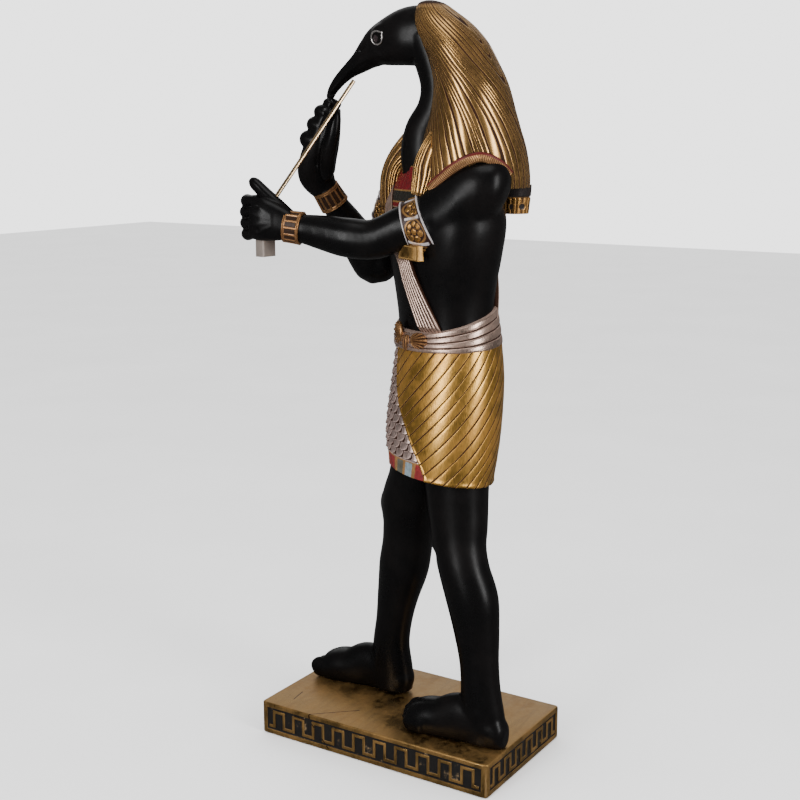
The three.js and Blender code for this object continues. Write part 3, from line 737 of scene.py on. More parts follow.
def plinth_material(name, leaf, umber):
    """Leaf on the raised frames, key and top, black on the sunk ground, with streaks along the top and
    a few fine cracks."""
    material, tree, shader, place = start_material(name)
    made = leaf_node(tree, place, leaf, (0.3, 0.16, 0.05), umber, 0.8, 0.3, 0.5, 1.0)
    drawn = node(tree, "ShaderNodeMapping", {"Vector": place, "Scale": (18.0, 120.0, 18.0)}).outputs[0]
    streak = maths(tree, "MULTIPLY", spread(tree, noise(tree, drawn, 1.0, 4.0, 0.65, 0.6), 0.46, 0.7), 0.3)
    colour = mix_colour(tree, streak, made.outputs["Colour"], (0.15, 0.085, 0.04, 1))
    cell = node(tree, "ShaderNodeTexVoronoi", {"Vector": place, "Scale": 9.0}, feature="DISTANCE_TO_EDGE")
    crack = maths(tree, "LESS_THAN", cell.outputs[0], 0.006)
    rare = maths(tree, "GREATER_THAN", noise(tree, place, 7.0), 0.6)
    colour = mix_colour(tree, maths(tree, "MULTIPLY", crack, rare), colour, (0.05, 0.025, 0.015, 1))
    ground = attribute(tree, "ground")
    scuffed = maths(tree, "MULTIPLY", spread(tree, noise(tree, place, 90.0, 4.0, 0.65), 0.62, 0.72), 0.5)
    dark = mix_colour(tree, scuffed, (0.006, 0.005, 0.0045, 1), (0.3, 0.19, 0.08, 1))
    metal = maths(tree, "MULTIPLY", made.outputs["Metallic"], maths(tree, "SUBTRACT", 1.0, ground))
    feed(tree, shader, {"Base Color": mix_colour(tree, ground, colour, dark), "Metallic": metal,
                        "Roughness": made.outputs["Roughness"]})
    bump_into(tree, shader, made.outputs["Height"], 0.3, 0.0005)
    return material


# Leaf finishes: leaf, which may be the name of a setting, worn leaf, patchiness, smooth and rough ends
# of its roughness, and what differs from leaf_material's usual values.
LEAVES = {
    "wig gold": ("wig_gold", (0.3, 0.14, 0.04), 0.5, 0.26, 0.4, {"grain": 0.3, "bump": 0.14, "strand": 0.24}),
    "plaque gold": ((0.62, 0.37, 0.12), (0.3, 0.14, 0.04), 0.7, 0.4, 0.52, {}),
    "kilt gold": ("kilt_gold", (0.45, 0.19, 0.035), 0.6, 0.32, 0.44, {"bump": 0.3, "strand": 0.11}),
    "rose silver": ("rose_silver", (0.42, 0.26, 0.2), 0.5, 0.28, 0.42, {}),
    "jewel gold": ((0.5, 0.27, 0.08), (0.2, 0.08, 0.025), 0.7, 0.24, 0.45, {"paint": True}),
    "old bronze": ((0.46, 0.24, 0.1), (0.15, 0.06, 0.025), 0.8, 0.28, 0.5, {"paint": True}),
    "apron silver": ((0.76, 0.58, 0.52), (0.5, 0.32, 0.27), 0.5, 0.4, 0.55, {"paint": True}),
    "rod brass": ((0.85, 0.62, 0.36), (0.5, 0.28, 0.12), 0.35, 0.2, 0.32,
                  {"grain": 0.5, "groove": False, "bump": 0.1}),
    "block silver": ((0.86, 0.74, 0.66), (0.62, 0.48, 0.41), 0.3, 0.55, 0.6, {"grain": 0.4, "groove": False}),
    "silver line": ((0.72, 0.68, 0.66), (0.36, 0.3, 0.28), 0.5, 0.3, 0.5,
                    {"grime": (0.08, 0.06, 0.05), "groove": False}),
}


def material_of(key):
    """The finishes, made when first asked for and shared by the pieces after that."""
    if key in bpy.data.materials:
        return bpy.data.materials[key]
    tint = bpy.context.scene.figure_finish
    umber = tuple(tint.umber)
    if key == "black lacquer":
        return lacquer_material(key, tuple(tint.black), (0.004, 0.003, 0.0029), tint.skin_gloss)
    if key == "eye enamel":
        return lacquer_material(key, (0.008, 0.007, 0.008), (0.03, 0.02, 0.02), 0.12)
    if key == "plinth leaf":
        return plinth_material(key, tuple(tint.plinth_gold), umber)
    leaf, worn, patchiness, smooth, rough, more = LEAVES[key]
    if isinstance(leaf, str):
        leaf = tuple(getattr(tint, leaf))
    values = {"grime": umber, "patchiness": patchiness, "smooth": smooth, "rough": rough, **more}
    return leaf_material(key, leaf, worn, **values)


# The pieces


class Piece:
    """What the operators that build share: undo, and one finished report."""

    bl_options = {"REGISTER", "UNDO"}

    def execute(self, context):
        self.build(context.scene.figure_sizes)
        return {"FINISHED"}


class FIGURE_OT_body(Piece, Operator):
    """Carve the bare torso and arms: soft chest, shoulders, elbows and the hollow of the spine."""

    bl_idname = "figure.body"
    bl_label = "Torso and arms"

    def build(self, sizes):
        turns = turns_round(120)
        trunk = spline(TORSO, 10)
        trunk = trunk[trunk[:, 2] > 50]
        forms = [level_points(trunk, turns, 0, TORSO_SQUARE)]
        forms.append(ball([3.7, 5.2, 73.4], [3.9, 2.0, 2.7], 70))
        forms.append(ball([0.4, -0.3, 73.6], [3.9, 2.0, 2.7], 52))
        for stations, front in ((NEAR_ARM, UP), (FAR_ARM, AHEAD), (FAR_FOREARM, AHEAD)):
            forms.append(path_points(spline(stations, LIMB_STEPS), front, turns))
        forms.append(ball([5.0, 3.8, 71.0], [1.9, 2.8, 2.5], 18))
        forms.append(ball([-6.75, -9.5, 64.4], [2.5, 2.9, 3.1]))
        piece = fuse("torso_and_arms", forms, sizes.body_grain, 14)
        press(piece, on_torso([84, 84, 84], [60, 65, 70], 0.0), 1.1, 0.12)
        press(piece, on_torso([272, 272, 272], [58, 66, 76], 0.0), 1.0, 0.3)
        press(piece, on_torso([92, 92.5], [58.1, 58.3], 0.0), 0.5, 0.4)
        press(piece, on_torso([60, 84, 108], [71.2, 70.6, 71.2], 0.1), 0.7, 0.22)
        ride(piece, "black lacquer")
        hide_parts("figure")


class FIGURE_OT_legs(Piece, Operator):
    """Carve the striding legs and feet: knee caps, calves, ankle bones, toes and their nails."""

    bl_idname = "figure.legs"
    bl_label = "Legs and feet"

    def foot(self, x, heel, length, side, turns):
        """One foot with its toes, and where the nails and the creases between the toes go."""

        def back(share):
            return heel - share * length

        sole = [[x, heel, 1.6, 1.0, 1.5], [x, back(0.05), 1.7, 1.9, 2.0], [x, back(0.21), 2.5, 2.2, 3.0],
                [x, back(0.42), 2.9, 2.3, 3.5], [x - 0.1 * side, back(0.61), 2.1, 2.7, 2.9],
                [x - 0.1 * side, back(0.75), 1.8, 3.0, 2.65], [x - 0.1 * side, back(0.86), 1.45, 3.0, 2.2]]
        forms = [path_points(spline(sole, LIMB_STEPS), UP, turns, 0, 1.1)]
        nails, creases = [], []
        toes = ((0.99, 1.15), (0.985, 0.72), (0.965, 0.71), (0.935, 0.7), (0.895, 0.7))
        for n, (tip, thick) in enumerate(toes):
            across = x + side * (-2.1 if n == 0 else -1.75 + 1.03 * n)
            root, end, centre = back(0.8 - 0.02 * n), back(tip), 1.5 - 0.06 * n
            tall = 1.62 - 0.07 * n
            toe = [[across, root, centre, 0.95 * thick, tall],
                   [across, end + 1.6, centre + 0.05, 0.9 * thick, tall],
                   [across, end + 0.8, centre - 0.1, 0.95 * thick, 0.93 * tall],
                   [across, end + 0.2, centre - 0.25, 0.75 * thick, 0.68 * tall],
                   [across, end, centre - 0.35, 0.4 * thick, 0.35 * tall]]
            if n:
                gap = across - side * 0.55
                creases.append([[gap, end - 0.2, 1.0], [gap, end + 0.4, 2.6],
                                [across - side * 0.5, end + 2.3, 3.1 - 0.1 * n]])
            forms.append(path_points(spline(toe, LIMB_STEPS), UP, turns[::2]))
            nails.append(([across, end + 0.45, centre + 0.78 * tall], thick))
        return forms, nails, creases

    def build(self, sizes):
        turns = turns_round(96)
        forms, nails, creases = [], [], []
        for stations in (NEAR_LEG, FAR_LEG):
            rows = spline(stations, LIMB_STEPS)
            forms.append(path_points(rows[rows[:, 2] < 40], AHEAD, turns))
        for x, heel, length, side in ((5.4, 18.9, 16.8, 1), (-3.1, -2.3, 16.2, -1)):
            parts, tips, lines = self.foot(x, heel, length, side, turns)
            forms += parts
            nails += tips
            creases += lines
        forms.append(ball([3.6, 7.6, 27.6], [2.3, 1.3, 3.0], 0, 8))
        forms.append(ball([-2.1, -4.3, 29.7], [2.4, 1.5, 2.8], 0, 8))
        for x, y in ((5.2, 15.2), (-3.0, -4.9)):
            forms.append(ball([x + 1.65, y, 4.8], [0.8, 1.4, 1.5]))
            forms.append(ball([x - 1.65, y, 5.2], [0.8, 1.4, 1.5]))
            forms.append(ball([x, y + 1.4, 2.2], [2.1, 2.1, 2.4]))
        piece = fuse("legs_and_feet", forms, sizes.limb_grain, 7)
        for x, y, z in ((3.75, 7.3, 24.8), (-2.4, -5.8, 26.2)):
            press(piece, [[x - 1.5, y, z + 1.2], [x, y - 0.4, z], [x + 1.5, y, z + 1.2]], 0.8, 0.15)
        for crease in creases:
            press(piece, crease, 0.24, 0.42)
        for (x, y, z), thick in nails:
            wide = 0.42 * thick
            rim = [[x - wide, y - 0.3 * thick, z], [x - wide, y + 0.45 * thick, z + 0.1],
                   [x + wide, y + 0.45 * thick, z + 0.1], [x + wide, y - 0.3 * thick, z]]
            press(piece, rim, 0.1, 0.09)
        points = read_points(piece)
        points[:, 2] = np.maximum(points[:, 2], 0.02)
        write_points(piece, points)
        ride(piece, "black lacquer")


class FIGURE_OT_head(Piece, Operator):
    """Carve the ibis head and neck: long curved bill with its gape and nostrils, ringed eyes."""

    bl_idname = "figure.head"
    bl_label = "Ibis head"

    def build(self, sizes):
        turns = turns_round(96)
        forms = [path_points(spline(SKULL, 12), UP, turns), path_points(spline(NECK, 12), AHEAD, turns)]
        for side in (-1, 1):
            forms.append(ball([1.35 * side, -3.4, 95.7], [1.35, 2.0, 1.7]))
        piece = fuse("ibis_head", forms, sizes.head_grain, 7)
        for side in (-1, 1):
            gape = [[2.3 * side, -3.0, 92.4], [1.75 * side, -5.5, 92.3], [1.3 * side, -7.4, 91.8],
                    [0.98 * side, -9.6, 90.6], [0.74 * side, -11.4, 89.1], [0.58 * side, -12.6, 88.1]]
            press(piece, gape, 0.26, 0.34)
            press(piece, np.asarray(gape) + [0, 0, 0.6], 0.4, -0.14)
            press(piece, [[1.5 * side, -6.1, 94.5], [1.2 * side, -7.5, 93.8]], 0.24, 0.34)
            cheek = 2.3 * side
            press(piece, [[cheek, -4.6, 94.3], [cheek, -3.4, 93.4], [cheek, -2.6, 92.6]], 0.5, 0.16)
            press(piece, [[cheek, -4.0, 95.4], [cheek, -4.01, 95.4]], 0.8, 0.3)
        ride(piece, "black lacquer")
        for side in (-1, 1):
            self.eye(piece, side)

    def eye(self, head, side):
        """An eyeball sunk in a ring of silver with a drawn-out corner behind it. The ring lies on the
        head: each of its spots takes the reach of the nearest point of the head, seen from the side."""
        hand = "left" if side > 0 else "right"
        piece = ring_object("eyeball_" + hand, ball([1.75 * side, -4.0, 95.45], [0.66, 0.82, 0.84]))
        ride(piece, "eye enamel")
        along = np.linspace(0, 1, 97)[:-1]
        turn = along * TAU
        drawn = 1 + 0.22 * np.exp(-((along - 0.1) / 0.03) ** 2) - 0.02 * np.cos(4 * turn)
        spots = np.stack([-3.95 + 1.02 * np.cos(turn) * drawn, 95.35 + 0.87 * np.sin(turn) * drawn], axis=-1)
        points = read_points(head)
        points = points[(points[:, 0] * side > 0.9) & (points[:, 1] < 0)]
        far = ((points[None, :, 1:] - spots[:, None]) ** 2).sum(-1)
        reach = points[far.argmin(1), 0]
        reach = sum(np.roll(reach, k) for k in range(-3, 4)) / 7 + 0.03 * side
        middle = np.column_stack([reach, spots])
        outward = np.stack([0 * turn, np.cos(turn), np.sin(turn)], axis=-1)
        round_ = turns_round(12)
        rings = middle[:, None] + 0.12 * (np.cos(round_)[None, :, None] * outward[:, None]
                                          + np.sin(round_)[None, :, None] * np.array([1.0, 0, 0]))
        sides = len(round_)
        index = np.arange(len(turn))[:, None] * sides + np.arange(sides)
        quads = np.stack([index, np.roll(index, -1, 1), np.roll(np.roll(index, -1, 1), -1, 0),
                          np.roll(index, -1, 0)], axis=-1).reshape(-1, 4)
        ring = mesh_object("eye_ring_" + hand, rings.reshape(-1, 3), quads)
        ring.data.flip_normals()
        ride(ring, "silver line")


class FIGURE_OT_hands(Piece, Operator):
    """Carve both closed hands: palms, knuckles, folded fingers, thumbs and the tendons behind."""

    bl_idname = "figure.hands"
    bl_label = "Hands"

    def build(self, sizes):
        turns = turns_round(72)
        wrist = spline(NEAR_ARM, LIMB_STEPS)[-LIMB_STEPS - 1:]
        forms = [path_points(wrist, UP, turns)]
        palm = [[10.5, -12.8, 70.6, 1.6, 2.0], [11.2, -14.6, 71.0, 1.7, 2.6], [11.7, -16.4, 71.4, 1.8, 3.0],
                [12.0, -17.9, 71.6, 1.5, 2.9]]
        forms.append(path_points(spline(palm, LIMB_STEPS), UP, turns, 0, 1.15))
        for n in range(4):
            z, bow = 73.8 - 1.5 * n, -0.1 * n * (3 - n)
            forms.append(self.finger([[12.2, -17.0 + bow, z + 0.1], [12.0, -18.9 + bow, z],
                                      [10.0, -19.7 + bow, z - 0.1], [8.7, -18.2 + bow, z - 0.2],
                                      [9.4, -16.3 + bow, z - 0.3]], turns))
        thumb = [[10.3, -13.2, 71.6, 1.0, 1.2], [10.9, -15.3, 73.6, 1.0, 1.1], [11.0, -17.0, 75.1, 0.9, 0.9],
                 [11.1, -18.3, 76.2, 0.8, 0.8], [11.1, -18.9, 76.7, 0.4, 0.4]]
        forms.append(path_points(spline(thumb, LIMB_STEPS), UP, turns))
        near = fuse("left_hand", forms, sizes.hand_grain, 5)
        for n in range(3):
            z = 73.0 - 1.5 * n
            press(near, [[13.2, -16.2, z], [13.0, -18.4, z], [11.0, -20.4, z - 0.1]], 0.22, 0.16)
        for n in range(4):
            z = 73.7 - 1.5 * n
            press(near, [[13.4, -17.2, z], [12.6, -14.4, 72.0 - 0.5 * n]], 0.3, -0.1)
        ride(near, "black lacquer")
        wrist = spline(FAR_FOREARM, LIMB_STEPS)[-LIMB_STEPS - 1:]
        forms = [path_points(wrist, AHEAD, turns)]
        palm = [[-0.4, -14.5, 74.8, 1.7, 1.8], [0.7, -15.3, 77.0, 1.8, 2.6], [1.3, -14.6, 79.2, 1.7, 2.6],
                [1.7, -13.4, 81.6, 1.5, 2.3], [1.9, -12.5, 84.0, 1.3, 1.9], [2.0, -11.8, 86.4, 1.0, 1.4]]
        forms.append(path_points(spline(palm, LIMB_STEPS), (0.5, -0.8, 0), turns, 0, 1.15))
        fingers = ((-15.6, 82.0, 1.15), (-14.5, 84.0, 1.05), (-13.4, 85.7, 0.95), (-12.3, 86.9, 0.65))
        for y, z, thick in fingers:
            joints = [[0.4, y + 1.5 * thick, z - 0.3], [0.7, y + 0.3 * thick, z], [1.7, y - 0.1, z],
                      [1.6 + thick, y + 0.4 * thick, z], [1.8 + thick, y + 1.5 * thick, z - 0.3]]
            forms.append(self.finger(joints, turns, thick))
        thumb = [[1.2, -13.4, 76.2, 0.4, 0.4], [1.6, -13.0, 77.4, 1.0, 1.1], [2.45, -12.1, 80.0, 1.05, 1.15],
                 [2.9, -10.9, 82.8, 0.9, 1.0], [2.8, -10.5, 85.0, 0.75, 0.8], [2.7, -10.6, 86.3, 0.4, 0.4]]
        forms.append(path_points(spline(thumb, LIMB_STEPS), AHEAD, turns))
        far = fuse("right_hand", forms, sizes.hand_grain, 5)
        press(far, [[3.4, -12.0, 84.6], [3.0, -13.2, 81.6], [2.6, -13.9, 78.6]], 0.3, 0.16)
        press(far, [[3.9, -11.3, 84.8], [3.7, -12.0, 81.6], [2.9, -13.0, 77.8]], 0.35, -0.1)
        ride(far, "black lacquer")

    def finger(self, joints, turns, half=0.86):
        """One finger along its joints: a little thicker over each knuckle, small at both ends."""
        stations = [joint + [half, half] for joint in joints]
        stations[0][3:], stations[-1][3:] = [0.65 * half] * 2, [0.6 * half] * 2
        count = 36
        rows = even_rows(stations, count)
        rows[:, 3:] *= 1 + 0.06 * np.cos(np.linspace(0, 1, count) * TAU * 3)[:, None]
        return path_points(rows, (0.3, 0.2, 1), turns)


class FIGURE_OT_wig(Piece, Operator):
    """Comb the long striped wig: swept-back locks, the far lappet, and the banded tail behind."""

    bl_idname = "figure.wig"
    bl_label = "Wig"

    def build(self, sizes):
        self.mantle(sizes)
        self.lappet("wig_lappet_right", FAR_LAPPET, (0.87, -0.5, 0), 17)
        self.lappet("wig_lappet_left", NEAR_LAPPET, (1, 0.05, 0), 19)
        self.tail()

    def mantle(self, sizes):
        """A cap of level sections. Locks lean back from the brow by 70(1 - v)^1.5 degrees, v running
        down; each lock is a low ridge between two dark grooves."""
        rows = even_rows(WIG, 130)
        turns = turns_round(400) + math.pi / 2
        v = ((100 - rows[:, 2]) / 24.2)[:, None]
        turn = turns[None]
        fall = np.clip(1 - v, 0, 1) ** 1.5 * math.radians(70)
        line = turn - fall * np.sin(np.arctan(6 * np.cos(turn)))
        phase = line / TAU * sizes.wig_locks
        phase = phase + 0.3 * np.sin(line * 7 + 1) + 0.2 * np.sin(line * 13 + v * 3)
        phase = phase + 0.3 * np.sin(v * 6 + line * 2)
        lock = np.abs(np.sin(phase * math.pi)) ** 0.5
        crown = step_between(v, 0.0, 0.07)
        points = level_points(rows, turns, sizes.wig_groove * (lock - 0.6) * crown)
        # The crown's top, where the locks meet, takes the full groove tone, fading out by v = 0.07.
        piece = ring_object("wig", points, groove=1 - crown + 0 * phase, strand=phase)
        ride(piece, "wig gold")

    def lappet(self, name, stations, front, locks):
        """A hanging lappet: locks at even turns that wander a little, a groove at each."""
        rows, turns, v = even_grid(stations, 80, 152)
        phase = turns[None] / TAU * locks + 0.4 * np.sin(v * 4) + 0.2 * np.sin(turns[None] * 5)
        major = groove_at(phase, 0.09)
        ends = step_between(v, 0, 0.03) * step_between(v, 1, 0.97)
        out = (0.08 * np.abs(np.sin(phase * math.pi)) ** 0.7 - 0.04 - 0.2 * major) * ends
        points = path_points(rows, front, turns, out, 1.3)
        piece = ring_object(name, points, groove=0 * phase, strand=phase)
        ride(piece, "wig gold")

    def tail(self):
        """The tail's dark band and tie, over flutes with a row of dark spots between them."""
        stations = [row[:] for row in TAIL]
        stations[-1][2] = 72.1
        rows, turns, v = even_grid(stations, 60, 176)
        z = rows[:, 2:3]
        phase = turns[None] / TAU * 22
        spots = np.hypot((phase / 2 - np.round(phase / 2)) / 0.26, (z - 73.1) / 0.5)
        major = groove_at(phase, 0.12)
        tie = np.exp(-((z - 74.35) / 0.1) ** 2) + 0 * phase
        cover = step_between(z, 76.4, 76.2) * step_between(z, 74.3, 74.4) + 0 * phase
        cover = np.clip(cover + step_between(spots, 1.0, 0.75), 0, 1)
        ends = step_between(v, 1, 0.97)
        out = (-0.14 * major * (1 - cover) - 0.14 * tie - 0.1 * step_between(spots, 1.0, 0.6)) * ends
        paint = plain_paint(cover.shape, [0.012, 0.01, 0.01])
        groove = np.clip(major + tie, 0, 1) * (1 - cover)
        piece = ring_object("wig_tail", level_points(rows, turns, out, 1.3), groove=groove, paint=paint,
                            enamel=cover)
        ride(piece, "jewel gold")


class FIGURE_OT_kilt(Piece, Operator):
    """Wrap the pleated kilt over its scaled apron, with a striped hem, belt and belt ornament."""

    bl_idname = "figure.kilt"
    bl_label = "Kilt and belt"

    def build(self, sizes):
        self.wrap(sizes)
        self.apron(sizes)
        self.belt()
        self.ornament()

    def wrap_edge(self, rows):
        edge = np.array(WRAP_EDGE)
        return np.interp(rows[:, 2], edge[:, 0], edge[:, 1])

    def wrap(self, sizes):
        """Pleats at even turns, slanting by a set turn over the height, each a flat strip that rises
        a little to the next narrow groove. The free edge follows its own line and stands proud."""
        rows = even_rows(KILT, 84)
        height = (rows[:, 2] - rows[0, 2]) / (rows[-1, 2] - rows[0, 2])
        start = APRON_FAR_EDGE - 360
        reach = self.wrap_edge(rows) - start
        turn = np.radians(start + reach[:, None] * np.linspace(0, 1, 370)[None])
        v = height[:, None]
        phase = (turn + v * sizes.pleat_slant + 0.02 * np.sin(v * 7 + turn * 3)) / TAU * sizes.pleats
        major = groove_at(phase, 0.1)
        rise = phase - np.floor(phase)
        rise = rise * step_between(rise, 1.0, 0.93)
        from_edge = turn[:, -1:] - turn
        rim = np.exp(-((from_edge - 0.02) / 0.02) ** 2) * 0.1
        hem = np.exp(-((v - 0.012) / 0.012) ** 2) * 0.1
        worn = 0.75 + 0.25 * np.sin(phase * 0.9 + v * 4)
        out = 0.16 + 0.035 * rise - sizes.pleat_depth * major * worn + rim + hem
        outer = level_points(rows, turn, out)
        inner = level_points(rows, turn, 0 * out - 0.2)
        groove = hem * 0.5 + 0 * phase
        sheet("kilt_wrap", outer, inner, "plinth_gold", "kilt gold", groove=groove, strand=phase)

    def apron(self, sizes):
        """Rows of rounded scales, each row half a scale across from the last and lapping the one
        below, over a hem of coloured blocks parted by thin gold bars."""
        rows = even_rows(KILT, 148)
        near = self.wrap_edge(rows) - 5
        far = APRON_FAR_EDGE + 4
        across = np.linspace(0, 1, 220)[None]
        turn = np.radians(far + (near - far)[:, None] * across)
        z = rows[:, 2:3] + 0 * turn
        up = (z - 38.9) / (0.74 * sizes.scale_size)
        row = np.floor(up)
        share = up - row
        middle = turn * 8.6 / sizes.scale_size + 0.5 * np.mod(row, 2)
        off = middle - np.round(middle)
        tip = (1 - np.sqrt(np.clip(1 - (off / 0.51) ** 2, 0, 1))) * 0.7
        inside = step_between(share, tip - 0.02, tip + 0.12)
        bed = np.mod(middle + 0.5, 1) - 0.5
        scale = inside * (0.5 - 0.3 * share) * (1 - 2.0 * bed**2)
        line = 1.3 * np.exp(-((share - tip) / 0.17) ** 2)
        line = np.clip(line + np.exp(-((0.5 - np.abs(bed)) / 0.1) ** 2) * (share > tip), 0, 1)
        hem = step_between(z, 38.86, 38.78)
        borders = [40, 59, 71, 84, 108, 120, 132, 150]
        block = np.interp(np.degrees(turn), borders, [6, 7, 8, 9, 10, 11, 12, 13])
        which = np.mod(np.floor(block), 3).astype(int)
        bars = step_between(np.abs(block - np.round(block)), 0.16, 0.11)
        top_bar = step_between(z, 38.5, 38.6) * hem
        gold = np.clip(bars + top_bar, 0, 1) * hem
        colours = np.array([[0.17, 0.014, 0.015], [0.16, 0.21, 0.24], [0.07, 0.07, 0.055]])
        rise = 0.14 + (1 - hem) * scale + hem * (0.12 + 0.06 * gold)
        under = step_between(across, 1.0, 0.9)
        rise = rise * under - 0.2
        groove = np.clip((1 - hem) * line + 0.5 * hem * np.exp(-((bars - 0.5) / 0.3) ** 2), 0, 1)
        outer, inner = level_points(rows, turn, rise), level_points(rows, turn, 0 * rise - 0.45)
        sheet("kilt_apron", outer, inner, "block_silver", "apron silver", groove=groove,
              paint=np.where(gold[..., None] > 0.5, [0.2, 0.1, 0.03], colours[which]), enamel=hem)
        piece = ring_object("kilt_lining", level_points(even_rows(KILT, 30), turns_round(120), -0.3))
        ride(piece, "black lacquer")

    def belt(self):
        """Four folds of cloth round the waist, rising to the back, with thin dark grooves between."""
        rows, turns, v = even_grid(BELT, 76, 320)
        drift = 0.05 * np.sin(turns[None] * 2 + 1) + 0.03 * np.sin(turns[None] * 5)
        phase = v * 4 + drift
        major = groove_at(phase, 0.085) * step_between(v, 0.08, 0.14) * step_between(v, 0.92, 0.86)
        fold = np.abs(np.sin(phase * math.pi)) ** 0.5
        crease = groove_at(phase * 3 + 0.25 * np.sin(turns[None] * 7), 0.1)
        ends = step_between(v, 0, 0.04) * step_between(v, 1, 0.96)
        out = (0.16 + 0.12 * fold - 0.14 * major - 0.02 * crease) * ends + 0.1
        hems = np.exp(-((np.abs(v - 0.5) - 0.49) / 0.012) ** 2)
        groove = np.clip(1.6 * major + 0.12 * crease + 0.7 * hems, 0, 1)
        piece = ring_object("belt", level_points(rows, turns, out), groove=groove)
        ride(piece, "rose silver")

    def ornament(self):
        """Two half shells spreading from a knot: ribs fan from the knot out to a beaded rim."""
        shells = (("left", 75, 55.6, 1.5, 1.15, 1), ("right", 103, 56.2, 1.3, 1.6, -1))
        for name, degrees, height, wide, tall, lean in shells:
            up = np.linspace(0.0, 1.0, 56)[:, None]
            turn = turns_round(120)[None]
            x = np.sin(up * math.pi) * np.cos(turn)
            z = np.sin(up * math.pi) * np.sin(turn)
            fan = np.arctan2(z + 0.02, x * lean + 1.06)
            reach = np.hypot(z, x * lean + 1.05)
            ribs = groove_at(fan * 4.2, 0.2) * step_between(reach, 0.25, 0.6)
            rim = np.exp(-((np.hypot(x, z) - 0.86) / 0.08) ** 2) * step_between(x * lean, -0.4, 0.1)
            beads = rim * (0.5 - 0.5 * np.cos(fan * 4.2 * TAU))
            lump = np.stack([wide * x, (0.55 + 0.3 * beads - 0.3 * ribs) * np.cos(up * math.pi) + 0 * x,
                             tall * z], axis=-1)
            self.badge("belt_shell_" + name, lump, degrees, height, ribs + 0.6 * rim * (1 - beads))
        turn, v = turns_round(80)[None], np.linspace(0, 1, 36)[:, None]
        wide = 0.75 * np.sin(v * math.pi) ** 0.6 * (1 - 0.06 * np.cos(turn * 10))
        knot = np.stack([wide * np.cos(turn), 0.8 * wide * np.sin(turn),
                         1.1 * np.cos(v * math.pi) + 0 * turn], axis=-1)
        self.badge("belt_knot", knot, 90, 55.1, 0.5 + 0.5 * np.cos(turn * 10) + 0 * v)

    def badge(self, name, points, degrees, height, groove):
        """Sets a small form on the belt, turned to face straight out from it there."""
        points = points @ about_z(64 + 90 - degrees) + on_torso(degrees, height, 0.8)
        piece = ring_object(name, points, groove=np.clip(groove, 0, 1))
        ride(piece, "old bronze")


class FIGURE_OT_sash(Piece, Operator):
    """Fold the shoulder sash: seven pleats across the chest, over the shoulder and down the back."""

    bl_idname = "figure.sash"
    bl_label = "Sash"

    def build(self, sizes):
        """Points across the middle line, half width to either side, laid back onto the torso and
        lifted by the power 0.6 of the pleats' sine, with a dark groove at each whole pleat."""
        stations = np.array(SASH, float)
        rows = spline(np.column_stack([stations, np.zeros((len(stations), 2))]), 28)[:, :3]
        middle = on_torso(rows[:, 0], rows[:, 1], 0.0)
        along = np.gradient(middle, axis=0)
        along /= np.linalg.norm(along, axis=1, keepdims=True)
        out = on_torso(rows[:, 0], rows[:, 1], 1.0) - middle
        out /= np.linalg.norm(out, axis=1, keepdims=True)
        wide = np.cross(along, out)
        wide /= np.linalg.norm(wide, axis=1, keepdims=True)
        across = np.linspace(-1, 1, 92)[None]
        surface = middle[:, None] + wide[:, None] * (rows[:, 2][:, None] * across)[..., None]
        phase = (across + 1) / 2 * sizes.sash_pleats
        pleat = 1.3 * groove_at(phase, 0.17) + 0 * rows[:, :1]
        ridge = np.abs(np.sin(phase * math.pi)) ** 0.6
        edge = step_between(1 - np.abs(across), 0, 0.06)
        clear = step_between(surface[..., 2], 56.6, 57.6) + 0 * edge
        lift = 0.05 + clear * (0.37 + edge * (0.2 * ridge - 0.04))
        outer = laid_on_torso(surface, lift)
        inner = laid_on_torso(surface, -0.3)
        sheet("sash", outer, inner, "block_silver", "rose silver", groove=np.clip(pleat, 0, 1))


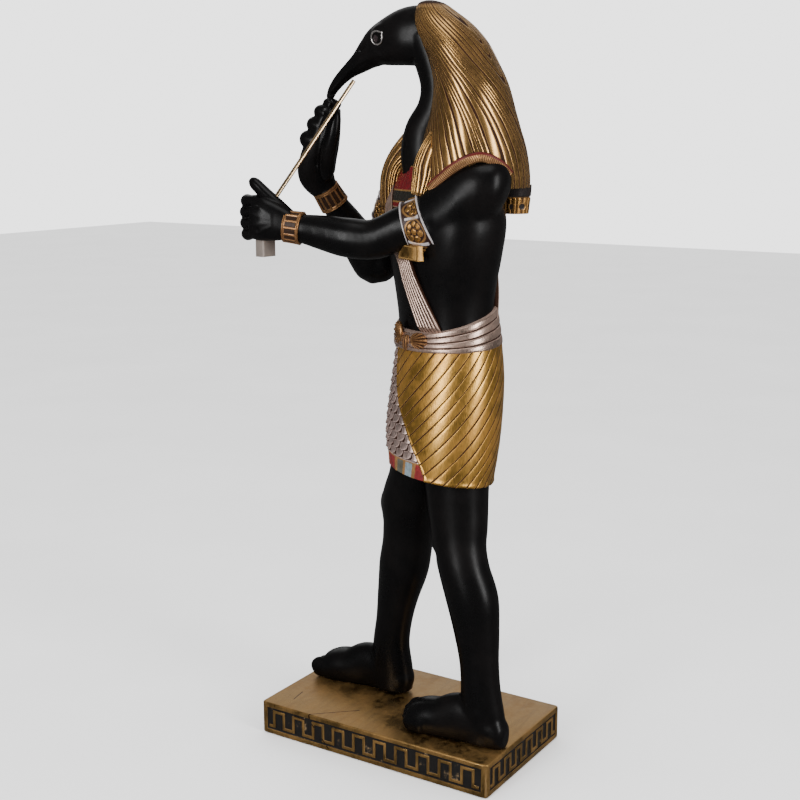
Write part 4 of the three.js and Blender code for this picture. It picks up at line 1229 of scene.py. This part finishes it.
class FIGURE_OT_jewels(Piece, Operator):
    """Set the broad collar, the pectoral, both armbands with rosettes and both ladder bracelets."""

    bl_idname = "figure.jewels"
    bl_label = "Collar and bands"

    def build(self, sizes):
        self.collar()
        self.shoulder_strip()
        self.pectoral()
        self.armband("left_armband", NEAR_ARM, UP, 4.85, 6, 7, 0.33)
        self.armband("right_armband", FAR_ARM, AHEAD, 4, 5, 7, 0)
        self.bracelet("left_bracelet", NEAR_ARM, UP, 10, 11, 14)
        self.bracelet("right_bracelet", FAR_FOREARM, AHEAD, 4, 5, 14)

    def collar(self):
        """Rings of colour lying on the chest, in painted bands down from the neck with thin gold lines
        between, each band crossed by fine bead joints. Behind, the collar sinks into the body."""
        count, sides = 72, 280
        rows = row_at(TORSO, np.linspace(78.7, 73.0, count))
        turns = turns_round(sides)
        v = np.linspace(0, 1, count)[:, None]
        bands = np.array([[0.3, 0.2, 0.08], [0.1, 0.006, 0.008], [0.3, 0.2, 0.08], [0.014, 0.014, 0.011],
                          [0.3, 0.2, 0.08], [0.1, 0.006, 0.008], [0.5, 0.5, 0.5]])
        limit = np.array([0.03, 0.57, 0.6, 0.84, 0.87, 0.96, 1.01])
        band = np.searchsorted(limit, v[:, 0])
        metal = np.isin(band, (0, 2, 4, 6))[:, None]
        paint = bands[band][:, None] + np.zeros((count, sides, 1))
        beads = groove_at(turns[None] / TAU * 70 + 0 * v, 0.14) * ~metal
        lines = np.exp(-(np.abs(v - limit[None, :-1]).min(1, keepdims=True) / 0.012) ** 2)
        ends = step_between(v, 0, 0.02) * step_between(v, 1, 0.985)
        front = step_between(np.sin(turns), 0.0, 0.25)[None]
        out = ((0.3 - 0.06 * beads - 0.05 * lines + 0.05 * metal) * ends + 0.04) * front - 0.9 * (1 - front)
        groove = np.clip(0.6 * beads + 0.7 * lines + 0 * turns[None], 0, 1)
        cover = (~metal) * 1.0 + 0 * turns[None]
        piece = ring_object("collar", level_points(rows, turns, out, TORSO_SQUARE), groove=groove,
                            paint=paint, enamel=cover)
        ride(piece, "jewel gold")

    def shoulder_strip(self):
        """The collar's outer edge where it crosses the left shoulder under the wig: a twisted bronze
        cord with a red line along its upper side, following the wig's cut edge."""
        turned = np.array([50, 44, 36, 27, 17, 8, -2, -12, -22, -30])
        height = np.array([75.7, 76.5, 77.4, 78.4, 79.2, 79.7, 79.9, 79.5, 78.7, 77.6])
        spots = on_form(WIG, turned, height, 0.1)
        stations = np.column_stack([spots, 0 * height + 0.5, 0 * height + 0.72])
        rows, turns, v = even_grid(stations, 220, 32)
        turn = turns[None] + 0 * v
        side = np.sin(turn)
        red = step_between(side, 0.25, 0.35) * step_between(side, 0.95, 0.85)
        twist = groove_at(v * 52 + 3 * turn / TAU, 0.22) * (1 - red) + groove_at(side * 1.6 + 0.5, 0.1)
        out = 0.05 * (1 - red) - 0.09 * np.clip(twist, 0, 1)
        piece = ring_object("shoulder_strip", path_points(rows, UP, turns, out, 1.4),
                            groove=np.clip(twist, 0, 1), enamel=red,
                            paint=plain_paint(turn.shape, [0.08, 0.01, 0.009]))
        ride(piece, "old bronze")

    def pectoral(self):
        """A flared plaque hanging at the breast, three stepped borders deep."""
        middle = on_torso(78, 67.5, 0.75)
        for n, (grow, push) in enumerate(((1.0, 0.0), (0.86, 0.12), (0.7, 0.2))):
            deep = 0.5 + push
            stations = [[0, 0, 1.0 * grow, 2.7 * grow, deep, 0], [0, 0, 0, 2.8 * grow, deep, 0],
                        [0, 0, -1.0 * grow, 2.9 * grow, 0.6 + push, 0]]
            rows = even_rows(stations, 24)
            rows[:, 5] = 60
            rows[:, :3] += middle
            piece = ring_object("pectoral_" + ("border", "field", "centre")[n],
                                level_points(rows, turns_round(96), 0, 3.0),
                                groove=np.zeros((24, 96)) + (n == 1) * 0.5)
            ride(piece, "plaque gold")

    def run(self, stations, first, last, count, sides):
        """A grid over the part of a limb from one station to another, in steps of the curve."""
        start, end = round(first * FINE_STEPS), round(last * FINE_STEPS)
        return even_grid(spline(stations, FINE_STEPS)[start:end + 1], count, sides)

    def armband(self, name, stations, front, first, last, rosettes, shift):
        """A dark field between silver rims, with beaded rosettes and upright silver bars in turn."""
        rows, turns, v = self.run(stations, first, last, 72, 364)
        girth = TAU * rows[:, 3:5].mean() / rosettes
        long_ = np.linalg.norm(rows[-1, :3] - rows[0, :3])
        off = turns[None] / TAU * rosettes + shift + 0 * v
        bars = np.abs(off + 0.5 - np.round(off + 0.5)) * girth
        off = (off - np.round(off)) * girth
        along = (v - 0.5) * long_ + 0 * off
        far = np.hypot(off, along)
        reach = 0.42 * min(girth, long_)
        petal = np.mod(np.arctan2(along, off) / TAU * 7, 1) - 0.5
        petal = np.hypot(petal * TAU / 7 * reach * 0.68, far - reach * 0.68)
        flower = step_between(petal, reach * 0.3, reach * 0.2)
        bead = step_between(far, reach * 0.34, reach * 0.22)
        cup = step_between(far, reach * 1.25, reach * 1.12) * step_between(far, reach * 1.0, reach * 1.08)
        bar = step_between(bars, 0.2, 0.15) * step_between(v, 0.12, 0.16) * step_between(v, 0.88, 0.84)
        rim = step_between(np.abs(v - 0.5), 0.44, 0.455) + 0 * off
        line = np.exp(-((np.abs(v - 0.5) - 0.44) / 0.012) ** 2)
        ends = step_between(np.abs(v - 0.5), 0.5, 0.49)
        out = (0.2 + 0.14 * rim + 0.12 * bar + 0.15 * flower + 0.2 * bead) * ends
        gold = np.clip(flower + bead + 0.4 * cup, 0, 1)
        silver = np.clip(rim + bar, 0, 1)
        paint = (np.array([0.016, 0.006, 0.004]) * (1 - silver)[..., None]
                 + np.array([0.36, 0.33, 0.33]) * silver[..., None])
        piece = ring_object(name, path_points(rows, front, turns, out),
                            groove=np.clip(line * 0.7 + 0 * off, 0, 1), paint=paint,
                            enamel=np.clip(1 - gold, 0, 1))
        ride(piece, "jewel gold")

    def bracelet(self, name, stations, front, first, last, cells):
        """A bronze frame round dark oblong cells, a ladder of them, between double edge rails."""
        rows, turns, v = self.run(stations, first, last, 48, 252)
        off = turns[None] / TAU * cells + 0 * v
        off = np.abs(off - np.round(off))
        cell = step_between(off, 0.12, 0.17) * step_between(np.abs(v - 0.5), 0.35, 0.32)
        rail = np.exp(-((np.abs(v - 0.5) - 0.42) / 0.014) ** 2) + 0 * off
        ends = step_between(np.abs(v - 0.5), 0.5, 0.48)
        out = (0.3 - 0.14 * cell - 0.08 * rail) * ends
        piece = ring_object(name, path_points(rows, front, turns, out), groove=np.clip(rail, 0, 1),
                            paint=plain_paint(off.shape, [0.02, 0.008, 0.003]), enamel=cell)
        ride(piece, "old bronze")


class FIGURE_OT_plinth(Piece, Operator):
    """Gild the plinth's frames, key border and field, leaving the sunk ground black."""

    bl_idname = "figure.plinth"
    bl_label = "Plinth"

    def build(self, sizes):
        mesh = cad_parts["plinth"].data.copy()
        mesh.name = "plinth_dress"
        piece = new_object("plinth_dress", mesh)
        weld = piece.modifiers.new("Weld", "WELD")
        weld.merge_threshold = 0.00001
        soften = piece.modifiers.new("Soften", "BEVEL")
        soften.width = 0.00035
        soften.segments = 2
        soften.limit_method = "ANGLE"
        soften.angle_limit = math.radians(40)
        finish_modifiers(piece)
        spots = read_rows(piece, "co")
        low, high = np.array(PLINTH_LOW), np.array(PLINTH_HIGH)
        middle, half = (low + high) / 2, (high - low) / 2
        from_sides = half[:2] - np.abs(spots[:, :2] - middle[:2])
        depth = np.minimum(from_sides.min(1), high[2] - spots[:, 2])
        keep_values(piece, "ground", (depth > SUNK).astype(float))
        ride(piece, "plinth leaf")
        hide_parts("plinth")


class FIGURE_OT_metals(Piece, Operator):
    """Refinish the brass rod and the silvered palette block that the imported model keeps."""

    bl_idname = "figure.metals"
    bl_label = "Rod and block"

    def build(self, sizes):
        for name, key in (("stylus", "rod brass"), ("palette_block", "block silver")):
            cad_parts[name].material_slots[0].material = material_of(key)


class FIGURE_OT_stage(Operator):
    """Lay a pale floor, hang two tall soft lights, a top light and a back glow, and set the camera."""

    bl_idname = "figure.stage"
    bl_label = "Stage"
    bl_options = {"REGISTER", "UNDO"}

    def execute(self, context):
        scene = context.scene
        lights = [
            self.panel("left panel light", (1.89, -0.17, 1.0), (0, 0, 0.5), 0.5, 1.3, 24),
            self.panel("right panel light", (0.33, 1.87, 1.0), (0, 0, 0.5), 0.5, 1.3, 24),
            self.panel("top panel light", (0.3, 0.2, 2.3), (0, 0, 0.4), 0.9, 0.9, 7),
        ]
        glow = bpy.data.lights.new("back glow", "SUN")
        glow.energy, glow.angle = 0.5, math.radians(60)
        lamp = new_object("back glow", glow)
        lamp.rotation_euler = Vector((1.3, 0.75, -1.0)).to_track_quat("-Z", "Y").to_euler()
        lights.append(lamp)
        bpy.ops.mesh.primitive_plane_add(size=14, location=(0, 0, -0.0005))
        floor = context.object
        floor.name = "floor"
        floor.visible_glossy = False
        paper, tree, shader, place = start_material("floor paper")
        tint = mix_colour(tree, spread(tree, noise(tree, place, 3.0), 0.3, 0.7), (0.86, 0.86, 0.86, 1),
                          (0.9, 0.9, 0.9, 1))
        feed(tree, shader, {"Base Color": tint, "Roughness": 0.9})
        floor.data.materials.append(paper)
        world = bpy.data.worlds.new("studio")
        world.use_nodes = True
        studio = world.node_tree
        rays = studio.nodes.new("ShaderNodeLightPath").outputs
        seen = maths(studio, "MULTIPLY", rays["Is Camera Ray"], SEEN_SKY)
        soft = maths(studio, "MULTIPLY", rays["Is Diffuse Ray"], SOFT_SKY)
        power = maths(studio, "ADD", maths(studio, "ADD", seen, soft), LEAST_SKY)
        feed(studio, studio.nodes["Background"], {"Strength": power, "Color": (1, 1, 1, 1)})
        scene.world = world
        lens = bpy.data.cameras.new("camera")
        lens.lens = LENS
        lens.sensor_width = SENSOR
        camera = new_object("camera", lens)
        camera.location = CAMERA_PLACE
        turn, fall = math.radians(CAMERA_TURN), math.radians(CAMERA_FALL)
        look = Vector((math.cos(turn) * math.cos(fall), math.sin(turn) * math.cos(fall), math.sin(fall)))
        camera.rotation_euler = look.to_track_quat("-Z", "Y").to_euler()
        scene.camera = camera
        return {"FINISHED"}

    def panel(self, name, place, aim, wide, tall, power):
        light = bpy.data.lights.new(name, "AREA")
        light.shape = "RECTANGLE"
        light.size, light.size_y = wide, tall
        light.energy = power
        lamp = new_object(name, light)
        lamp.location = place
        lamp.rotation_euler = (Vector(aim) - Vector(place)).to_track_quat("-Z", "Y").to_euler()
        return lamp


# Settings and the sidebar


def length(name, description, default):
    return FloatProperty(name=name, description=description, default=default, min=0.0002, soft_max=0.01,
                         unit="LENGTH", precision=4)


def number(name, description, default, low, high, **more):
    kind = IntProperty if isinstance(default, int) else FloatProperty
    return kind(name=name, description=description, default=default, min=low, max=high, **more)


def colour(name, description, default):
    return FloatVectorProperty(name=name, description=description, default=default, size=3, min=0, max=1,
                               subtype="COLOR")


class FigureSizes(PropertyGroup):
    body_grain: length("Body grain", "Size of the cells that the torso and arms are melted from", 0.0028)
    limb_grain: length("Leg grain", "Size of the cells that the legs and feet are melted from", 0.0023)
    head_grain: length("Head grain", "Size of the cells that the head and neck are melted from", 0.0015)
    hand_grain: length("Hand grain", "Size of the cells that the hands are melted from", 0.0012)
    wig_locks: number("Wig locks", "Locks counted round the wig", 46, 12, 160)
    wig_groove: number("Wig groove", "Depth between two locks, in shares of the figure", 0.08, 0, 0.6)
    pleats: number("Pleats", "Pleats counted round the kilt", 28, 8, 60)
    pleat_slant: number("Pleat slant", "Turn of a pleat from belt to hem", 1.8, 0, 4, subtype="ANGLE")
    pleat_depth: number("Pleat depth", "Depth between two pleats, in shares of the figure", 0.04, 0, 0.5)
    sash_pleats: number("Sash pleats", "Pleats across the shoulder sash", 7, 3, 15)
    scale_size: number("Apron scale", "Width of one apron scale, in shares of the figure", 1.7, 0.4, 3)


class FigureFinish(PropertyGroup):
    black: colour("Black lacquer", "The skin's lacquer", (0.0018, 0.0016, 0.0017))
    umber: colour("Groove colour", "The dark colour along grooves", (0.022, 0.009, 0.005))
    wig_gold: colour("Wig gold", "The leaf on the wig and ornaments", (0.64, 0.37, 0.13))
    kilt_gold: colour("Kilt gold", "The leaf on the kilt", (0.68, 0.38, 0.09))
    rose_silver: colour("Rose silver", "The leaf on the sash and belt", (0.62, 0.45, 0.37))
    plinth_gold: colour("Plinth gold", "The leaf on the plinth", (0.4, 0.24, 0.085))
    skin_gloss: number("Skin roughness", "Roughness of the rubbed lacquer", 0.3, 0.05, 0.9)


OPERATORS = (FIGURE_OT_body, FIGURE_OT_legs, FIGURE_OT_head, FIGURE_OT_hands, FIGURE_OT_wig, FIGURE_OT_kilt,
             FIGURE_OT_sash, FIGURE_OT_jewels, FIGURE_OT_plinth, FIGURE_OT_metals, FIGURE_OT_stage)


class FIGURE_PT_sidebar(Panel):
    """Sizes and finishes of the figure, with a button for each group of pieces."""

    bl_label = "Ibis-headed figure"
    bl_idname = "FIGURE_PT_sidebar"
    bl_space_type = "VIEW_3D"
    bl_region_type = "UI"
    bl_category = "Figure"

    def draw(self, context):
        layout = self.layout
        for group in (context.scene.figure_sizes, context.scene.figure_finish):
            box = layout.box()
            for key in group.bl_rna.properties.keys():
                if key not in ("rna_type", "name"):
                    box.prop(group, key)
        for operator in OPERATORS:
            layout.operator(operator.bl_idname)


CLASSES = (FigureSizes, FigureFinish, *OPERATORS, FIGURE_PT_sidebar)


def register():
    for cls in CLASSES:
        bpy.utils.register_class(cls)
    bpy.types.Scene.figure_sizes = PointerProperty(type=FigureSizes)
    bpy.types.Scene.figure_finish = PointerProperty(type=FigureFinish)


def unregister():
    del bpy.types.Scene.figure_finish
    del bpy.types.Scene.figure_sizes
    for cls in reversed(CLASSES):
        bpy.utils.unregister_class(cls)


def main():
    register()
    bpy.ops.figure.body()
    bpy.ops.figure.legs()
    bpy.ops.figure.head()
    bpy.ops.figure.hands()
    bpy.ops.figure.wig()
    bpy.ops.figure.kilt()
    bpy.ops.figure.sash()
    bpy.ops.figure.jewels()
    bpy.ops.figure.plinth()
    bpy.ops.figure.metals()
    bpy.ops.figure.stage()


if __name__ == "__main__":
    main()
